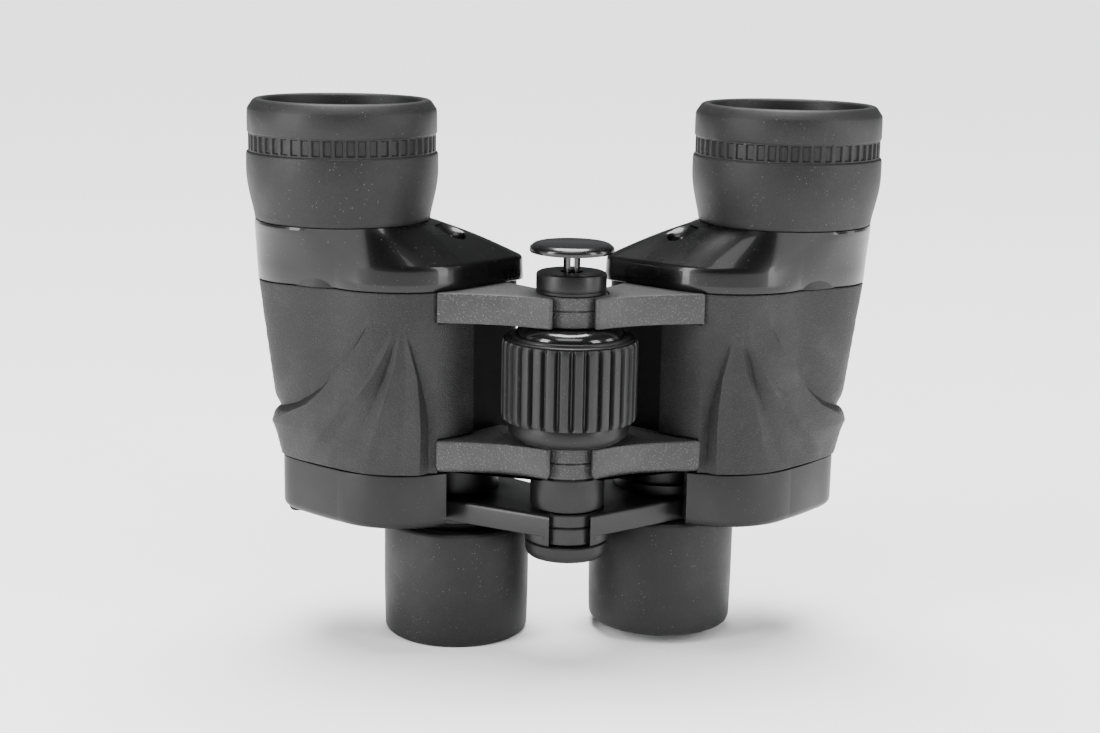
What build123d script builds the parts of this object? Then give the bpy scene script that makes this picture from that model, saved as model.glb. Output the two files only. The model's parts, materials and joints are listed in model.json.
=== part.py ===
from build123d import *
import os
from math import atan2, cos, degrees, radians, sin, sqrt

# Centre-focus porro prism binocular, 8x40 class, standing on its eyecups with the objectives up.
# Millimetres.  +Z runs from the eyecups to the objectives, +X to the right half, and -Y to the side
# where the focus wheel sits.  The left eyecup's rim is at z = 0.  Every shape is drawn for the right
# half with the hinge axis at x = y = 0; place() moves it to the row frame and mirrors the left half.

# ---- driving dimensions: where the axes are, measured from the hinge axis
objective_x = 62.2
objective_y = 22.5
eyepiece_x = 29.9
eyepiece_y = 23.2

# ---- clearances
running = 0.05             # radial clearance of a turning or sliding fit
knuckle_gap = 0.1          # axial clearance between two knuckles
free = 0.4                 # clearance of pieces that pass each other without touching
cut_over = 10.0            # how far a cutting tool reaches past what it cuts

# ---- body half, in plan
lobe_r = 25.0              # rounded front lobe
lobe_behind_knee = 14.9    # its centre, behind the point where the two channels' centre lines meet
upper_side_r = 23.6        # outer side, measured from the objective axis, at the upper seam
lower_side_r = 17.2        # and at the lower seam
upper_shoulder_r = 20.2    # front shoulder, likewise
lower_shoulder_r = 14.9
shoulder_angle = -32.0     # where round the objective axis the shoulder is measured
back_r = 23.6
channel_half = 14.5        # half width of the eyepiece channel, towards the back
eye_end = 14.3             # body beyond the eyepiece axis, along the channel
corner_r = 5.5
armour_t = 1.8
housing_t = 2.0
thin_wall = 0.8            # housing wall where the prisms come closest to it
cover_t = 1.5
armour_edge_x = 26.0       # armour stops here on the hinge side
cover_edge_x = 33.5        # eyepiece cover stops here on the hinge side

# ---- body half, in height
cover_bottom_z = 36.6      # eyepiece cover, lowest face
lower_seam_z = 52.3        # armour meets the eyepiece cover
body_height = 50.7
upper_seam_z = lower_seam_z + body_height
shelf_t = 3.0              # prism shelf, near the middle
shelf_low_z = lower_seam_z + body_height / 2 - 1.15
shelf_high_z = shelf_low_z + shelf_t
floor_t = 2.5

# ---- hood over the objective end
hood_rim_z = upper_seam_z + 3.6        # top of its upright wall
hood_corner_z = upper_seam_z + 6.6     # its top edge over the front lobe
hood_low_z = upper_seam_z + 8.0        # its top face at the hinge end
hood_high_z = upper_seam_z + 16.6      # and beside the objective ring
hood_slant = 3.2                       # how far the top edge lies in from the wall
neck_r = 24.2
neck_z = upper_seam_z + 11.0           # the neck is upright above this

# ---- objective end
ring_base_z = upper_seam_z + 16.9
ring_height = 32.9
ring_top_z = ring_base_z + ring_height
ring_bulge_r = 26.5
ring_band_r = 25.8                     # knurled band
ring_mouth_r = 21.7
tube_r = 22.4
tube_t = 1.4
tube_foot_r = 18.0         # narrower where it stands on the housing, inside the hood
tube_step = (12.0, 3.6)    # height of the foot over the seam, and of the cone above it
tube_top_z = ring_top_z - 4.8
lens_r = 20.3              # objective lenses
lens_rim = 0.7             # covered by the ledge and by the retaining ring
cell_depth = 11.5
cell_ledge = 1.5
cell_bottom_z = tube_top_z - cell_depth
flint_edge = 4.6           # lens thickness at the edge
crown_edge = 2.2
cemented_sagitta = 2.2     # bulge of the cemented faces
front_sagitta = 2.0
rear_sagitta = -0.4        # rear face is hollow

# ---- prisms
prism_half = 7.2           # half width, and radius of the rounded ends
chamber_wider = 2.0        # opening round a prism, where the wall leaves room for it
clip_t = 0.6
clip_width = 6.0
clip_tab = (9.0, 6.0)      # tab under the cover screw: reach along the prism, and across it

# ---- hinge
arm_end_x = 36.3
arm_gap_x = 5.7            # half of the gap between the two arms at the front
arm_back_y = 17.0
upper_arm_t = 8.3
lower_arm_t = 9.0
upper_arm_low_z = upper_seam_z - upper_arm_t
upper_seam_knuckle_z = upper_seam_z - 3.7
lower_arm_low_z = lower_seam_z + 0.5
lower_arm_high_z = lower_arm_low_z + lower_arm_t
lower_seam_knuckle_z = lower_arm_low_z + lower_arm_t / 2
knuckle_r = 10.0
pin_r = 5.5
collar_r = 9.6
collar_top_z = upper_seam_z + 5.7
socket_r = 3.1             # accessory socket in the hinge pin
socket_depth = 8.5
sleeve_r = 10.3
sleeve_bottom_z = 43.4
spigot_r = 4.4             # turned-down ends of pin and tube that carry the wheel
spigot_length = 4.5

# ---- focus wheel and rod
wheel_bottom_z = lower_arm_high_z + 0.5
wheel_top_z = upper_arm_low_z - 0.4
grip_low_z = wheel_bottom_z + 5.9
grip_high_z = wheel_top_z - 4.0
grip_r = 18.7
grip_core_r = 15.8
rib_count = 30
groove_width = 1.0
groove_depth = 1.3
hub_flange_r = 16.7        # below the grip
hub_shoulder_r = 17.8      # above the grip
hub_neck_r = 16.3
trim_r = 15.0
trim_low_z = wheel_top_z - 2.7
trim_bore_r = 10.5
rod_r = 3.4
rod_top_z = wheel_top_z - 8.3
journal_r = 4.0

# ---- eyepiece bridge
bridge_low_z = 36.6
bridge_boss_z = 34.0
bridge_high_z = 42.8
bridge_seam_z = 39.0
bridge_ring_wall = 1.6     # of the ring round the barrel
bridge_ring_low_z = 34.8
bridge_hub_r = 11.8
bridge_room = 0.6          # between the bridge arm and the eyepiece cover
cap_r = 11.5
cap_low_z = 29.2
cap_high_z = 33.7
screw_shank_r = 1.5
screw_head_r = 3.2
screw_head_t = 1.8

# ---- eyepiece; z values are those of the left one
diopter_out = 2.8          # the right eyepiece is screwed in this much further
guide_r = 12.0
guide_t = 1.0
guide_bottom_z = 25.0
guide_flange = (1.5, 1.5)  # width and height
barrel_r = 14.4
barrel_bottom_z = 8.0
barrel_web_z = 20.0
lens_tube_t = 0.8
lens_tube_room = 0.3       # between the lens tube and the guide tube round it
lens_tube_top_z = 33.0
eye_lens_seat_z = 16.5
eye_lens_low_z = 13.0
field_lens_seat_z = 25.0
field_lens_edge = 3.6
field_stop_r = 8.6
lens_relief = 0.3          # seats touch a lens on its curve, this far past the height of its edge
eyecup_r = 20.9
eyecup_length = 33.4
eyecup_recess = 2.6        # recess in its top that clears the bridge ring
eyecup_mouth_r = 17.8
eyecup_dish_z = 7.6        # bottom of the dish round the eye lens
eyecup_dish_r = 10.2
eyecup_relief = 0.8        # shallow recess in the eyepiece cover, over the eyecup

# ---- socket cap, drawn part way out of its socket
cap_disc_r = 11.5
cap_disc_low_z = collar_top_z + 5.3
cap_disc_t = 2.5
cap_disc_high_z = cap_disc_low_z + cap_disc_t
cap_bevel = (1.4, 1.1)     # width and height
cap_stem_r = 2.3
cap_stem_low_z = collar_top_z - 2.7
cap_slot = 1.0

# ---- strap lug and cover screw
lug_length = 10.8
lug_width = 3.0
lug_out = 10.7             # its middle, from the objective axis
lug_back = 6.0
lug_low_z = 33.6
lug_bar = 1.2
lug_wall = 1.6
screw_out = 1.1            # from the eyepiece axis
screw_front = 6.7
screw_floor_z = upper_seam_z + 6.8
screw_recess_r = 2.6
cover_screw_r = 1.2
cover_screw_head = (2.2, 1.2)          # radius and height
driver_slot = 0.6

# ---- placed from the above
clear_aperture_r = lens_r - lens_rim
bridge_ring_r = barrel_r + bridge_ring_wall
hinge_y = -(objective_y + ring_bulge_r - grip_r) / 2   # puts the row origin midway front to back
eye = Vector(eyepiece_x, eyepiece_y)
objective = Vector(objective_x, objective_y)
screw = eye + Vector(screw_out, -screw_front)
towards_eye = Vector(-1, 1).normalized()               # along the eyepiece channel
towards_front = Vector(-1, -1).normalized()            # across it, to the hinge side
outwards = Vector(1, -1).normalized()
knee = eye + towards_eye * (objective - eye).dot(towards_eye)   # where the channels' centre lines meet
lobe = Vector((eyepiece_x + objective_x) / 2, knee.Y + lobe_behind_knee)
above_all_z = ring_top_z + cut_over
plan_reach = 2 * (objective_x + upper_side_r)          # wider than any plan
flint_low_z = cell_bottom_z + cell_ledge
flint_high_z = flint_low_z + flint_edge
crown_high_z = flint_high_z + crown_edge
lens_tube_r = guide_r - guide_t - lens_tube_room
eyepiece_lens_r = lens_tube_r - lens_tube_t


def disc(radius, low, high, at=Vector()):
    """Upright cylinder between two heights."""
    shape = Cylinder(radius, high - low, align=(Align.CENTER, Align.CENTER, Align.MIN))
    return Pos(at.X, at.Y, low) * shape


def collar(outer, inner, low, high, at=Vector()):
    """Upright tube between two heights."""
    return disc(outer, low, high, at) - disc(inner, low, high, at)


def turned(points, at=Vector()):
    """Solid of revolution about an upright axis, from a closed outline of (radius, z) points."""
    outline = make_face(Polyline(*[(r, 0, z) for r, z in points], close=True))
    return Pos(at.X, at.Y, 0) * revolve(outline, Axis.Z)


def block(x, y, z):
    """Box from three (low, high) pairs."""
    shape = Box(x[1] - x[0], y[1] - y[0], z[1] - z[0], align=Align.MIN)
    return Pos(x[0], y[0], z[0]) * shape


def raised(outline, low, high):
    """Plan outline, drawn at z = 0, extruded between two heights."""
    return Pos(0, 0, low) * extrude(outline, high - low, dir=(0, 0, 1))


def stadium(a, b, radius):
    """Plan of two circles and the band between them."""
    return make_hull([e for c in (a, b) for e in (Pos(c.X, c.Y) * Circle(radius)).edges()])


def lens(radius, low, high, low_bulge, high_bulge, at=Vector()):
    """Round lens: edge between two heights, each face bulging outwards by the given sagitta."""
    def half_way(sagitta):
        sphere = (radius ** 2 + sagitta ** 2) / (2 * abs(sagitta))
        drop = sphere - sqrt(sphere ** 2 - radius ** 2 / 4)
        return (abs(sagitta) - drop) * (1 if sagitta > 0 else -1)
    outline = [
        ThreePointArc((0, 0, low - low_bulge), (radius / 2, 0, low - half_way(low_bulge)), (radius, 0, low)),
        Line((radius, 0, low), (radius, 0, high)),
        ThreePointArc((radius, 0, high), (radius / 2, 0, high + half_way(high_bulge)), (0, 0, high + high_bulge)),
        Line((0, 0, high + high_bulge), (0, 0, low - low_bulge)),
    ]
    return Pos(at.X, at.Y, 0) * revolve(make_face(outline), Axis.Z)


def body_outline(inset, side_r, shoulder_r):
    """Plan of one body half: two straight channels at right angles, a round lobe where they meet at
    the front, a round outer end about the objective, all drawn inwards by inset."""
    front_line = (lobe - eye).dot(towards_front) + lobe_r - inset
    end = towards_eye * (eye_end - inset)
    front_corner = eye + end + towards_front * front_line
    back_corner = eye + end - towards_front * (channel_half - inset)
    lobe_start = lobe + towards_front * (lobe_r - inset)
    lobe_middle = lobe + Vector(0, inset - lobe_r)
    lobe_stop = lobe + outwards * (lobe_r - inset)
    angle = radians(shoulder_angle)
    shoulder = objective + Vector(cos(angle), sin(angle)) * (shoulder_r - inset)
    side = objective + Vector(side_r - inset, 0)
    back = Vector(objective_x, objective_y + back_r - inset)
    edges = [
        Line(front_corner, lobe_start),
        ThreePointArc(lobe_start, lobe_middle, lobe_stop),
        Spline(lobe_stop, shoulder, side, tangents=[(1, 0.8), (0, 1)]),
        Spline(side, back, tangents=[(0, 1), (back_corner - back).normalized()]),
        Line(back, back_corner),
        Line(back_corner, front_corner),
    ]
    plan = make_face(edges)
    corners = [plan.vertices().sort_by_distance(c)[0] for c in (front_corner, back_corner)]
    return fillet(corners, max(corner_r - inset, 1))


def body_loft(inset):
    """Body between the two seams, tapering towards the eyepieces, drawn inwards by inset."""
    low = Pos(0, 0, lower_seam_z) * body_outline(inset, lower_side_r, lower_shoulder_r)
    high = Pos(0, 0, upper_seam_z) * body_outline(inset, upper_side_r, upper_shoulder_r)
    return loft([low.face(), high.face()])


def prism_chamber(a, b):
    """Plan of the opening through which a prism and its clip are fitted."""
    return stadium(a, b, prism_half + chamber_wider)


def cover_plan(inset):
    """Plan of the eyepiece cover: the objective channel, hollowed to clear the eyepiece ring."""
    whole = body_outline(inset, lower_side_r, lower_shoulder_r)
    corner = objective - outwards * (channel_half - inset)
    along = Vector(1, 1).normalized() * plan_reach
    across = outwards * plan_reach
    band = make_face(Polyline(corner - along, corner + along, corner + along + across, corner - along + across,
                              close=True))
    hinge_side = Pos(cover_edge_x + inset, 0) * Rectangle(plan_reach, plan_reach,
                                                          align=(Align.MIN, Align.CENTER))
    return (whole & band & hinge_side) - bridge_plan(bridge_room + inset)


def bridge_plan(outset):
    """Plan of an eyepiece bridge arm, from the focus rod to the ring, drawn outwards by outset."""
    hub = Circle(bridge_hub_r + outset)
    ring = Pos(eye.X, eye.Y) * Circle(bridge_ring_r + outset)
    return make_hull([*hub.edges(), *ring.edges()])


# ---- pieces of one half

def layer(low, high):
    """Everything between two heights, as a cutting tool for one half."""
    return block((0, plan_reach), (-plan_reach, plan_reach), (low, high))


def housing():
    """Prism housing: outer wall, shelf with three windows, top wall and floor with the openings.  The
    prism chambers may thin the outer wall, and never pierce it."""
    room = body_loft(armour_t + housing_t)
    thinned = body_loft(armour_t + thin_wall)
    upper_chamber = raised(prism_chamber(knee, eye), shelf_high_z, upper_seam_z) & thinned
    lower_chamber = raised(prism_chamber(objective, knee) & cover_plan(cover_t), lower_seam_z, shelf_low_z)
    shape = body_loft(armour_t)
    shape -= room & layer(lower_seam_z + floor_t, shelf_low_z)
    shape -= room & layer(shelf_high_z, upper_seam_z - housing_t)
    for axis in (objective, knee, eye):
        shape -= disc(prism_half, shelf_low_z, shelf_high_z, axis)
    shape -= upper_chamber
    shape -= disc(tube_foot_r - tube_t, shelf_high_z, upper_seam_z, objective)
    shape -= lower_chamber & thinned
    return shape - disc(guide_r, lower_seam_z, lower_seam_z + floor_t, eye)


def armour():
    """Rubber sleeve round the housing, cut away on the hinge side and round the two hinge arms."""
    shape = body_loft(0) - body_loft(armour_t)
    front = (-plan_reach, (objective_y + eyepiece_y) / 4)
    shape -= block((0, armour_edge_x), (-plan_reach, plan_reach), (lower_seam_z, upper_seam_z))
    shape -= block((0, arm_end_x), front, (upper_arm_low_z, upper_seam_z))
    return shape - block((0, arm_end_x), front, (lower_seam_z, lower_arm_high_z))


def hood_plan(inset):
    """Plan of the objective cover, drawn inwards by inset."""
    return body_outline(inset, upper_side_r, upper_shoulder_r)


def objective_cover():
    """Hood over the objective end: plate over the prism, slope beside it, neck up to the ring."""
    shape = raised(hood_plan(0), upper_seam_z, hood_rim_z)
    shape += loft([(Pos(0, 0, hood_rim_z) * hood_plan(0)).face(),
                   (Pos(0, 0, hood_corner_z) * hood_plan(hood_slant)).face()])
    shape += loft([(Pos(objective.X - 1, objective.Y + 2, hood_rim_z) * Circle(neck_r - 1.8)).face(),
                   (Pos(objective.X, objective.Y, neck_z) * Circle(neck_r)).face()])
    shape += disc(neck_r, neck_z, ring_base_z, objective)
    hinge_end = eyepiece_x - eye_end - corner_r
    slope = make_face(Polyline((hinge_end - cut_over, 0, hood_rim_z), (hinge_end, 0, hood_low_z),
                               (objective_x - neck_r, 0, hood_high_z), (objective_x, 0, hood_high_z),
                               (objective_x, 0, hood_rim_z), close=True))
    wedge = extrude(slope, plan_reach, dir=(0, 1, 0))
    shape += wedge & raised(hood_plan(hood_slant + 1.3), hood_rim_z, above_all_z)
    shape -= raised(hood_plan(hood_slant + cover_t), upper_seam_z, hood_corner_z - cover_t)
    shape -= tube_outside(0)
    shape -= disc(screw_recess_r, screw_floor_z, above_all_z, screw)
    return shape - disc(cover_screw_r + 0.1, upper_seam_z, above_all_z, screw)


def eyepiece_cover():
    """Cover under the lower prism chamber, open towards the housing."""
    shape = raised(cover_plan(0), cover_bottom_z, lower_seam_z)
    shape = chamfer(shape.faces().sort_by(Axis.Z)[0].edges(), 1.2)
    shape -= disc(eyecup_r + free, cover_bottom_z, cover_bottom_z + eyecup_relief, eye)
    return shape - raised(cover_plan(cover_t), cover_bottom_z + cover_t, lower_seam_z)


def prism(a, b, face_z, direction):
    """Right-angle prism with rounded ends, its long face at face_z between the beams a and b."""
    along = (b - a).normalized()
    across = Vector(-along.Y, along.X)
    half = (b - a).length / 2 + prism_half
    middle = (a + b) / 2
    ends = [middle - along * half, middle + along * half]
    corners = [(p.X, p.Y, face_z) for p in ends] + [(middle.X, middle.Y, face_z + direction * half)]
    section = Pos(*(across * -prism_half)) * make_face(Polyline(*corners, close=True))
    bar = extrude(section, 2 * prism_half, dir=tuple(across))
    low, high = sorted((face_z, face_z + direction * half))
    return bar & raised(stadium(a, b, prism_half), low, high)


def clip_height(a, b):
    """Height over the shelf of the clip's inner face, just clear of the prism's ridge."""
    return (b - a).length / 2 + prism_half + 0.1


def prism_clip(a, b, face_z, direction):
    """Spring strap over a prism's ridge, standing on the shelf on both sides; the upper one has a tab
    under the cover screw."""
    along = (b - a).normalized()
    middle = (a + b) / 2
    height = clip_height(a, b)
    half = prism_half + 0.3
    width = (-clip_width / 2, clip_width / 2)
    shape = block(width, (-half - clip_t, half + clip_t), (0, height + clip_t))
    shape -= block(width, (-half, half), (0, height))
    if direction > 0:
        shape += block((0, clip_tab[0]), (-clip_tab[1] / 2, clip_tab[1]), (height, height + clip_t))
    else:
        shape = mirror(shape, about=Plane.XY)
    return Pos(middle.X, middle.Y, face_z) * Rot(0, 0, degrees(atan2(along.Y, along.X))) * shape


def tube_outside(inset):
    """Solid inside the objective tube's outer face, drawn inwards by inset."""
    foot_top = upper_seam_z + tube_step[0]
    return turned([(0, upper_seam_z), (tube_foot_r - inset, upper_seam_z), (tube_foot_r - inset, foot_top),
                   (tube_r - inset, foot_top + tube_step[1]), (tube_r - inset, tube_top_z), (0, tube_top_z)],
                  objective)


def objective_tube():
    """Tube that carries the lens cell, standing on the housing's top wall."""
    shape = tube_outside(0) - tube_outside(tube_t)
    return shape + collar(tube_r - tube_t, lens_r - 0.5, cell_bottom_z - 2, cell_bottom_z, objective)


def objective_ring():
    """Rubber ring: tapered foot, bulge, knurled band, chamfered mouth."""
    base, top = ring_base_z, ring_top_z
    profile = [(tube_r, base), (neck_r, base), (ring_bulge_r - 0.8, base + 8.6), (ring_bulge_r, base + 14.1),
               (ring_bulge_r - 0.2, top - 14.2), (ring_band_r, top - 14), (ring_band_r, top - 9.2),
               (ring_bulge_r - 0.4, top - 9), (ring_bulge_r - 0.5, top - 2.6), (ring_bulge_r - 2.1, top - 0.2),
               (ring_bulge_r - 2.7, top), (ring_mouth_r + 0.9, top), (ring_mouth_r, top - 0.8),
               (ring_mouth_r, tube_top_z), (tube_r, tube_top_z)]
    return turned(profile, objective)


def objective_cell():
    """Lens cell with a ledge under the flint lens."""
    outer, top = tube_r - tube_t, tube_top_z - 0.5
    return turned([(outer, cell_bottom_z), (outer, top), (lens_r, top), (lens_r, flint_low_z),
                   (clear_aperture_r, flint_low_z), (clear_aperture_r, cell_bottom_z)], objective)


def objective_flint():
    """Inner lens of the cemented pair, hollow on top."""
    return lens(lens_r, flint_low_z, flint_high_z, rear_sagitta, -cemented_sagitta, objective)


def objective_crown():
    """Outer lens of the cemented pair, bulging both ways."""
    return lens(lens_r, flint_high_z, crown_high_z, cemented_sagitta, front_sagitta, objective)


def objective_retainer():
    """Threaded ring that holds the pair in its cell."""
    return collar(lens_r, clear_aperture_r, crown_high_z + lens_relief / 2, tube_top_z - 0.5, objective)


def guide_tube():
    """Fixed tube in the housing floor that the eyepiece slides on, with a flange under the floor."""
    width, height = guide_flange
    shape = collar(guide_r, guide_r - guide_t, guide_bottom_z, lower_seam_z + floor_t, eye)
    return shape + collar(guide_r + width, guide_r, lower_seam_z - height, lower_seam_z, eye)


def arm_plan():
    """Plan of a hinge arm: hollow-curved front, back edge inside the housing."""
    reach = arm_end_x - arm_gap_x
    points = [(1.0, -2.4), (0.7, -3.4), (0.435, -5.2), (0.22, -7.9), (0.0, -11.4)]
    front = [(arm_gap_x + share * reach, y) for share, y in points]
    rest = [front[-1], (arm_gap_x, 0), (8.6, 6.6), (arm_back_y, arm_back_y), (eyepiece_x, arm_back_y),
            (arm_end_x, arm_back_y / 2), front[0]]
    return make_face([*Spline(*front).edges(), *Polyline(*rest).edges()])


def hinge_arm(low, seam, high, own_is_upper, bore_r):
    """Arm from the housing to the hinge; its knuckle takes the height on one side of the seam."""
    own = (seam + knuckle_gap / 2, high) if own_is_upper else (low, seam - knuckle_gap / 2)
    other = (low, seam + knuckle_gap / 2) if own_is_upper else (seam - knuckle_gap / 2, high)
    shape = raised(arm_plan(), *own) + disc(knuckle_r, *own)
    shape += raised(arm_plan(), *other) - disc(knuckle_r + free, *other)
    shape -= disc(bore_r, low, high)
    return shape - body_loft(armour_t)


def strap_lug():
    """Loop under the outer end of the eyepiece cover."""
    middle = objective_x + lug_out
    outer_x = (middle - lug_length / 2, middle + lug_length / 2)
    slot_x = (outer_x[0] + lug_wall, outer_x[1] - lug_wall)
    y = (objective_y + lug_back - lug_width / 2, objective_y + lug_back + lug_width / 2)
    outer = block(outer_x, y, (lug_low_z, cover_bottom_z))
    outer = fillet(outer.edges().filter_by(Axis.Y).sort_by(Axis.Z)[:2], lug_wall)
    return outer - block(slot_x, y, (lug_low_z + lug_bar, cover_bottom_z))


def cover_screw():
    """Screw in the hood's recess, standing on the prism clip's tab."""
    tab_z = shelf_high_z + clip_height(knee, eye) + clip_t
    radius, height = cover_screw_head
    head = disc(radius, screw_floor_z, screw_floor_z + height, screw)
    head -= block((screw.X - radius, screw.X + radius), (screw.Y - driver_slot / 2, screw.Y + driver_slot / 2),
                  (screw_floor_z + height / 2, screw_floor_z + height))
    return head + disc(cover_screw_r, tab_z, screw_floor_z, screw)


# ---- eyepiece group, drawn at the left one's heights

def bridge_arm(own_is_upper, bore_r, ring_bore_r):
    """Arm from the focus rod to the eyepiece, with the ring that holds the barrel."""
    low, seam, high = bridge_boss_z, bridge_seam_z, bridge_high_z
    own = (seam + knuckle_gap / 2, high) if own_is_upper else (low, seam - knuckle_gap / 2)
    other = (low, seam + knuckle_gap / 2) if own_is_upper else (seam - knuckle_gap / 2, high)
    plan = bridge_plan(0) & Pos(arm_gap_x, 0) * Rectangle(plan_reach, plan_reach,
                                                          align=(Align.MIN, Align.CENTER))
    boss = plan & Circle(bridge_hub_r)
    shape = raised(plan, bridge_low_z, high) + raised(boss, low, high)
    shape -= disc(knuckle_r + free, *other)
    shape += disc(knuckle_r, *own)
    shape += disc(bridge_ring_r, bridge_ring_low_z, high, eye)
    return shape - disc(bore_r, low, high) - disc(ring_bore_r, low, high, eye)


def eyepiece_barrel():
    """Sliding sleeve outside the guide tube and lens tube inside it, joined by a web."""
    shape = disc(barrel_r, barrel_bottom_z, bridge_high_z, eye)
    shape -= disc(guide_r + running, lens_tube_top_z, bridge_high_z, eye)
    shape -= collar(guide_r + running, lens_tube_r, barrel_web_z, lens_tube_top_z, eye)
    shape -= disc(eyepiece_lens_r, barrel_bottom_z, eye_lens_seat_z, eye)
    shape -= disc(eyepiece_lens_r, field_lens_seat_z, lens_tube_top_z, eye)
    return shape - disc(field_stop_r, eye_lens_seat_z, field_lens_seat_z, eye)


def eye_lens():
    """Lens next to the eye, pushed up against its seat."""
    return lens(eyepiece_lens_r, eye_lens_low_z, eye_lens_seat_z - lens_relief, 0.9, 1.0, eye)


def field_lens():
    """Lens next to the prism, lying on its seat."""
    low = field_lens_seat_z + lens_relief
    return lens(eyepiece_lens_r, low, low + field_lens_edge, 1.0, 1.6, eye)


def lens_retainer():
    """Ring that holds the eye lens from below."""
    bore = eyepiece_lens_r - 1.2
    return collar(eyepiece_lens_r, bore, barrel_bottom_z + 0.6, eye_lens_low_z - lens_relief, eye)


def eyecup():
    """Moulded rubber eyecup: rounded rim, dish round the eye lens, bore on the barrel, recess on top."""
    bore = barrel_r + running
    recess = bridge_ring_r + free
    profile = [(eyecup_mouth_r, 0.5), (eyecup_mouth_r + 0.5, 0), (eyecup_r - 1.3, 0), (eyecup_r - 0.5, 0.7),
               (eyecup_r - 0.2, 3), (eyecup_r, 14), (eyecup_r, eyecup_length - 0.6),
               (eyecup_r - 0.6, eyecup_length), (recess, eyecup_length), (recess, eyecup_length - eyecup_recess),
               (bore, eyecup_length - eyecup_recess), (bore, eyecup_dish_z + 0.3),
               (eyecup_dish_r, eyecup_dish_z + 0.3), (eyecup_dish_r, eyecup_dish_z - 0.6)]
    return turned(profile, eye)


# ---- centre column

def hinge_pin():
    """Upper hinge pin with the accessory socket in its top and the wheel's spigot below."""
    shape = disc(pin_r, upper_arm_low_z, collar_top_z)
    shape += disc(spigot_r, upper_arm_low_z - spigot_length, upper_arm_low_z)
    return shape - disc(socket_r, collar_top_z - socket_depth, collar_top_z)


def hinge_collar():
    """Collar on the hinge pin, above the upper arms."""
    return chamfer(collar(collar_r, pin_r, upper_seam_z, collar_top_z).edges().group_by(Axis.Z)[-1], 0.5)


def hinge_tube():
    """Lower hinge tube round the focus rod, with the wheel's spigot on top."""
    top = wheel_bottom_z - 0.2
    shape = disc(pin_r, sleeve_bottom_z, top) + disc(spigot_r, top, top + spigot_length)
    return shape - disc(rod_r + running, sleeve_bottom_z, top + spigot_length)


def lower_sleeve():
    """Satin sleeve under the lower arms."""
    return collar(sleeve_r, pin_r, sleeve_bottom_z, lower_arm_low_z - knuckle_gap)


def wheel_hub():
    """Core of the focus wheel, threaded on the rod, with flanges above and below the grip."""
    low, high = wheel_bottom_z, grip_high_z
    profile = [(rod_r + running, low), (hub_flange_r - 2.7, low), (hub_flange_r - 0.3, low + 1.9),
               (hub_flange_r, low + 2.7), (hub_flange_r, grip_low_z), (grip_core_r, grip_low_z),
               (grip_core_r, high), (hub_shoulder_r, high), (hub_shoulder_r, high + 0.6), (hub_neck_r, high + 0.7),
               (hub_neck_r, trim_low_z), (trim_bore_r, trim_low_z), (trim_bore_r, wheel_top_z),
               (rod_r + running, wheel_top_z)]
    shape = turned(profile)
    shape -= disc(spigot_r + running, wheel_bottom_z, wheel_bottom_z + spigot_length + 0.2)
    return shape - disc(spigot_r + running, upper_arm_low_z - spigot_length - 0.3, wheel_top_z)


def wheel_grip():
    """Ribbed rubber sleeve on the hub."""
    plan = Circle(grip_r) - Circle(grip_core_r)
    for i in range(rib_count):
        groove = Pos(grip_r, 0) * Rectangle(2 * groove_depth, groove_width)
        plan -= Rot(0, 0, i * 360 / rib_count) * groove
    return raised(plan, grip_low_z, grip_high_z)


def wheel_trim():
    """Bevelled ring on top of the wheel."""
    return turned([(trim_bore_r, trim_low_z), (trim_r, trim_low_z), (trim_r - 0.6, trim_low_z + 1),
                   (trim_r - 2.4, wheel_top_z), (trim_bore_r, wheel_top_z)])


def focus_rod():
    """Rod along the hinge axis: threaded above, plain journal for the bridge arms below."""
    shape = disc(journal_r, cap_high_z, bridge_high_z) + disc(rod_r, bridge_high_z, rod_top_z)
    return shape - disc(screw_shank_r, cap_high_z, bridge_seam_z)


def bridge_cap():
    """Cap under the bridge arms."""
    shape = disc(cap_r, cap_low_z, cap_high_z)
    shape = chamfer(shape.edges().group_by(Axis.Z)[0], 1.2)
    shape -= disc(screw_shank_r, cap_low_z, cap_high_z)
    return shape - disc(screw_head_r + 0.1, cap_low_z, cap_low_z + screw_head_t)


def bridge_screw():
    """Screw through the cap into the focus rod."""
    head = disc(screw_head_r, cap_low_z, cap_low_z + screw_head_t)
    head -= block((-screw_head_r, screw_head_r), (-driver_slot / 2, driver_slot / 2), (cap_low_z, cap_low_z + 0.8))
    return head + disc(screw_shank_r, cap_low_z + screw_head_t, bridge_seam_z)


def socket_cap():
    """Disc on a split stem whose tip grips the accessory socket."""
    tip = socket_r - running
    bevel_width, bevel_height = cap_bevel
    profile = [(0, cap_stem_low_z), (cap_stem_r, cap_stem_low_z), (tip, cap_stem_low_z + 0.6),
               (tip, cap_stem_low_z + 1.6), (cap_stem_r, cap_stem_low_z + 2.2), (cap_stem_r, cap_disc_low_z),
               (cap_disc_r - 0.4, cap_disc_low_z), (cap_disc_r, cap_disc_low_z + 0.4),
               (cap_disc_r, cap_disc_high_z - bevel_height), (cap_disc_r - bevel_width, cap_disc_high_z),
               (0, cap_disc_high_z)]
    slot = block((-cap_slot / 2, cap_slot / 2), (-socket_r, socket_r), (cap_stem_low_z, cap_disc_low_z))
    return turned(profile) - slot


# ---- assembly

def place(shape, side="right", lift=0.0):
    """Move a piece from the hinge frame to the row frame; the left half is the mirror image."""
    if side == "left":
        shape = mirror(shape, about=Plane.YZ)
    return Pos(0, hinge_y, lift) * shape


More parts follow.
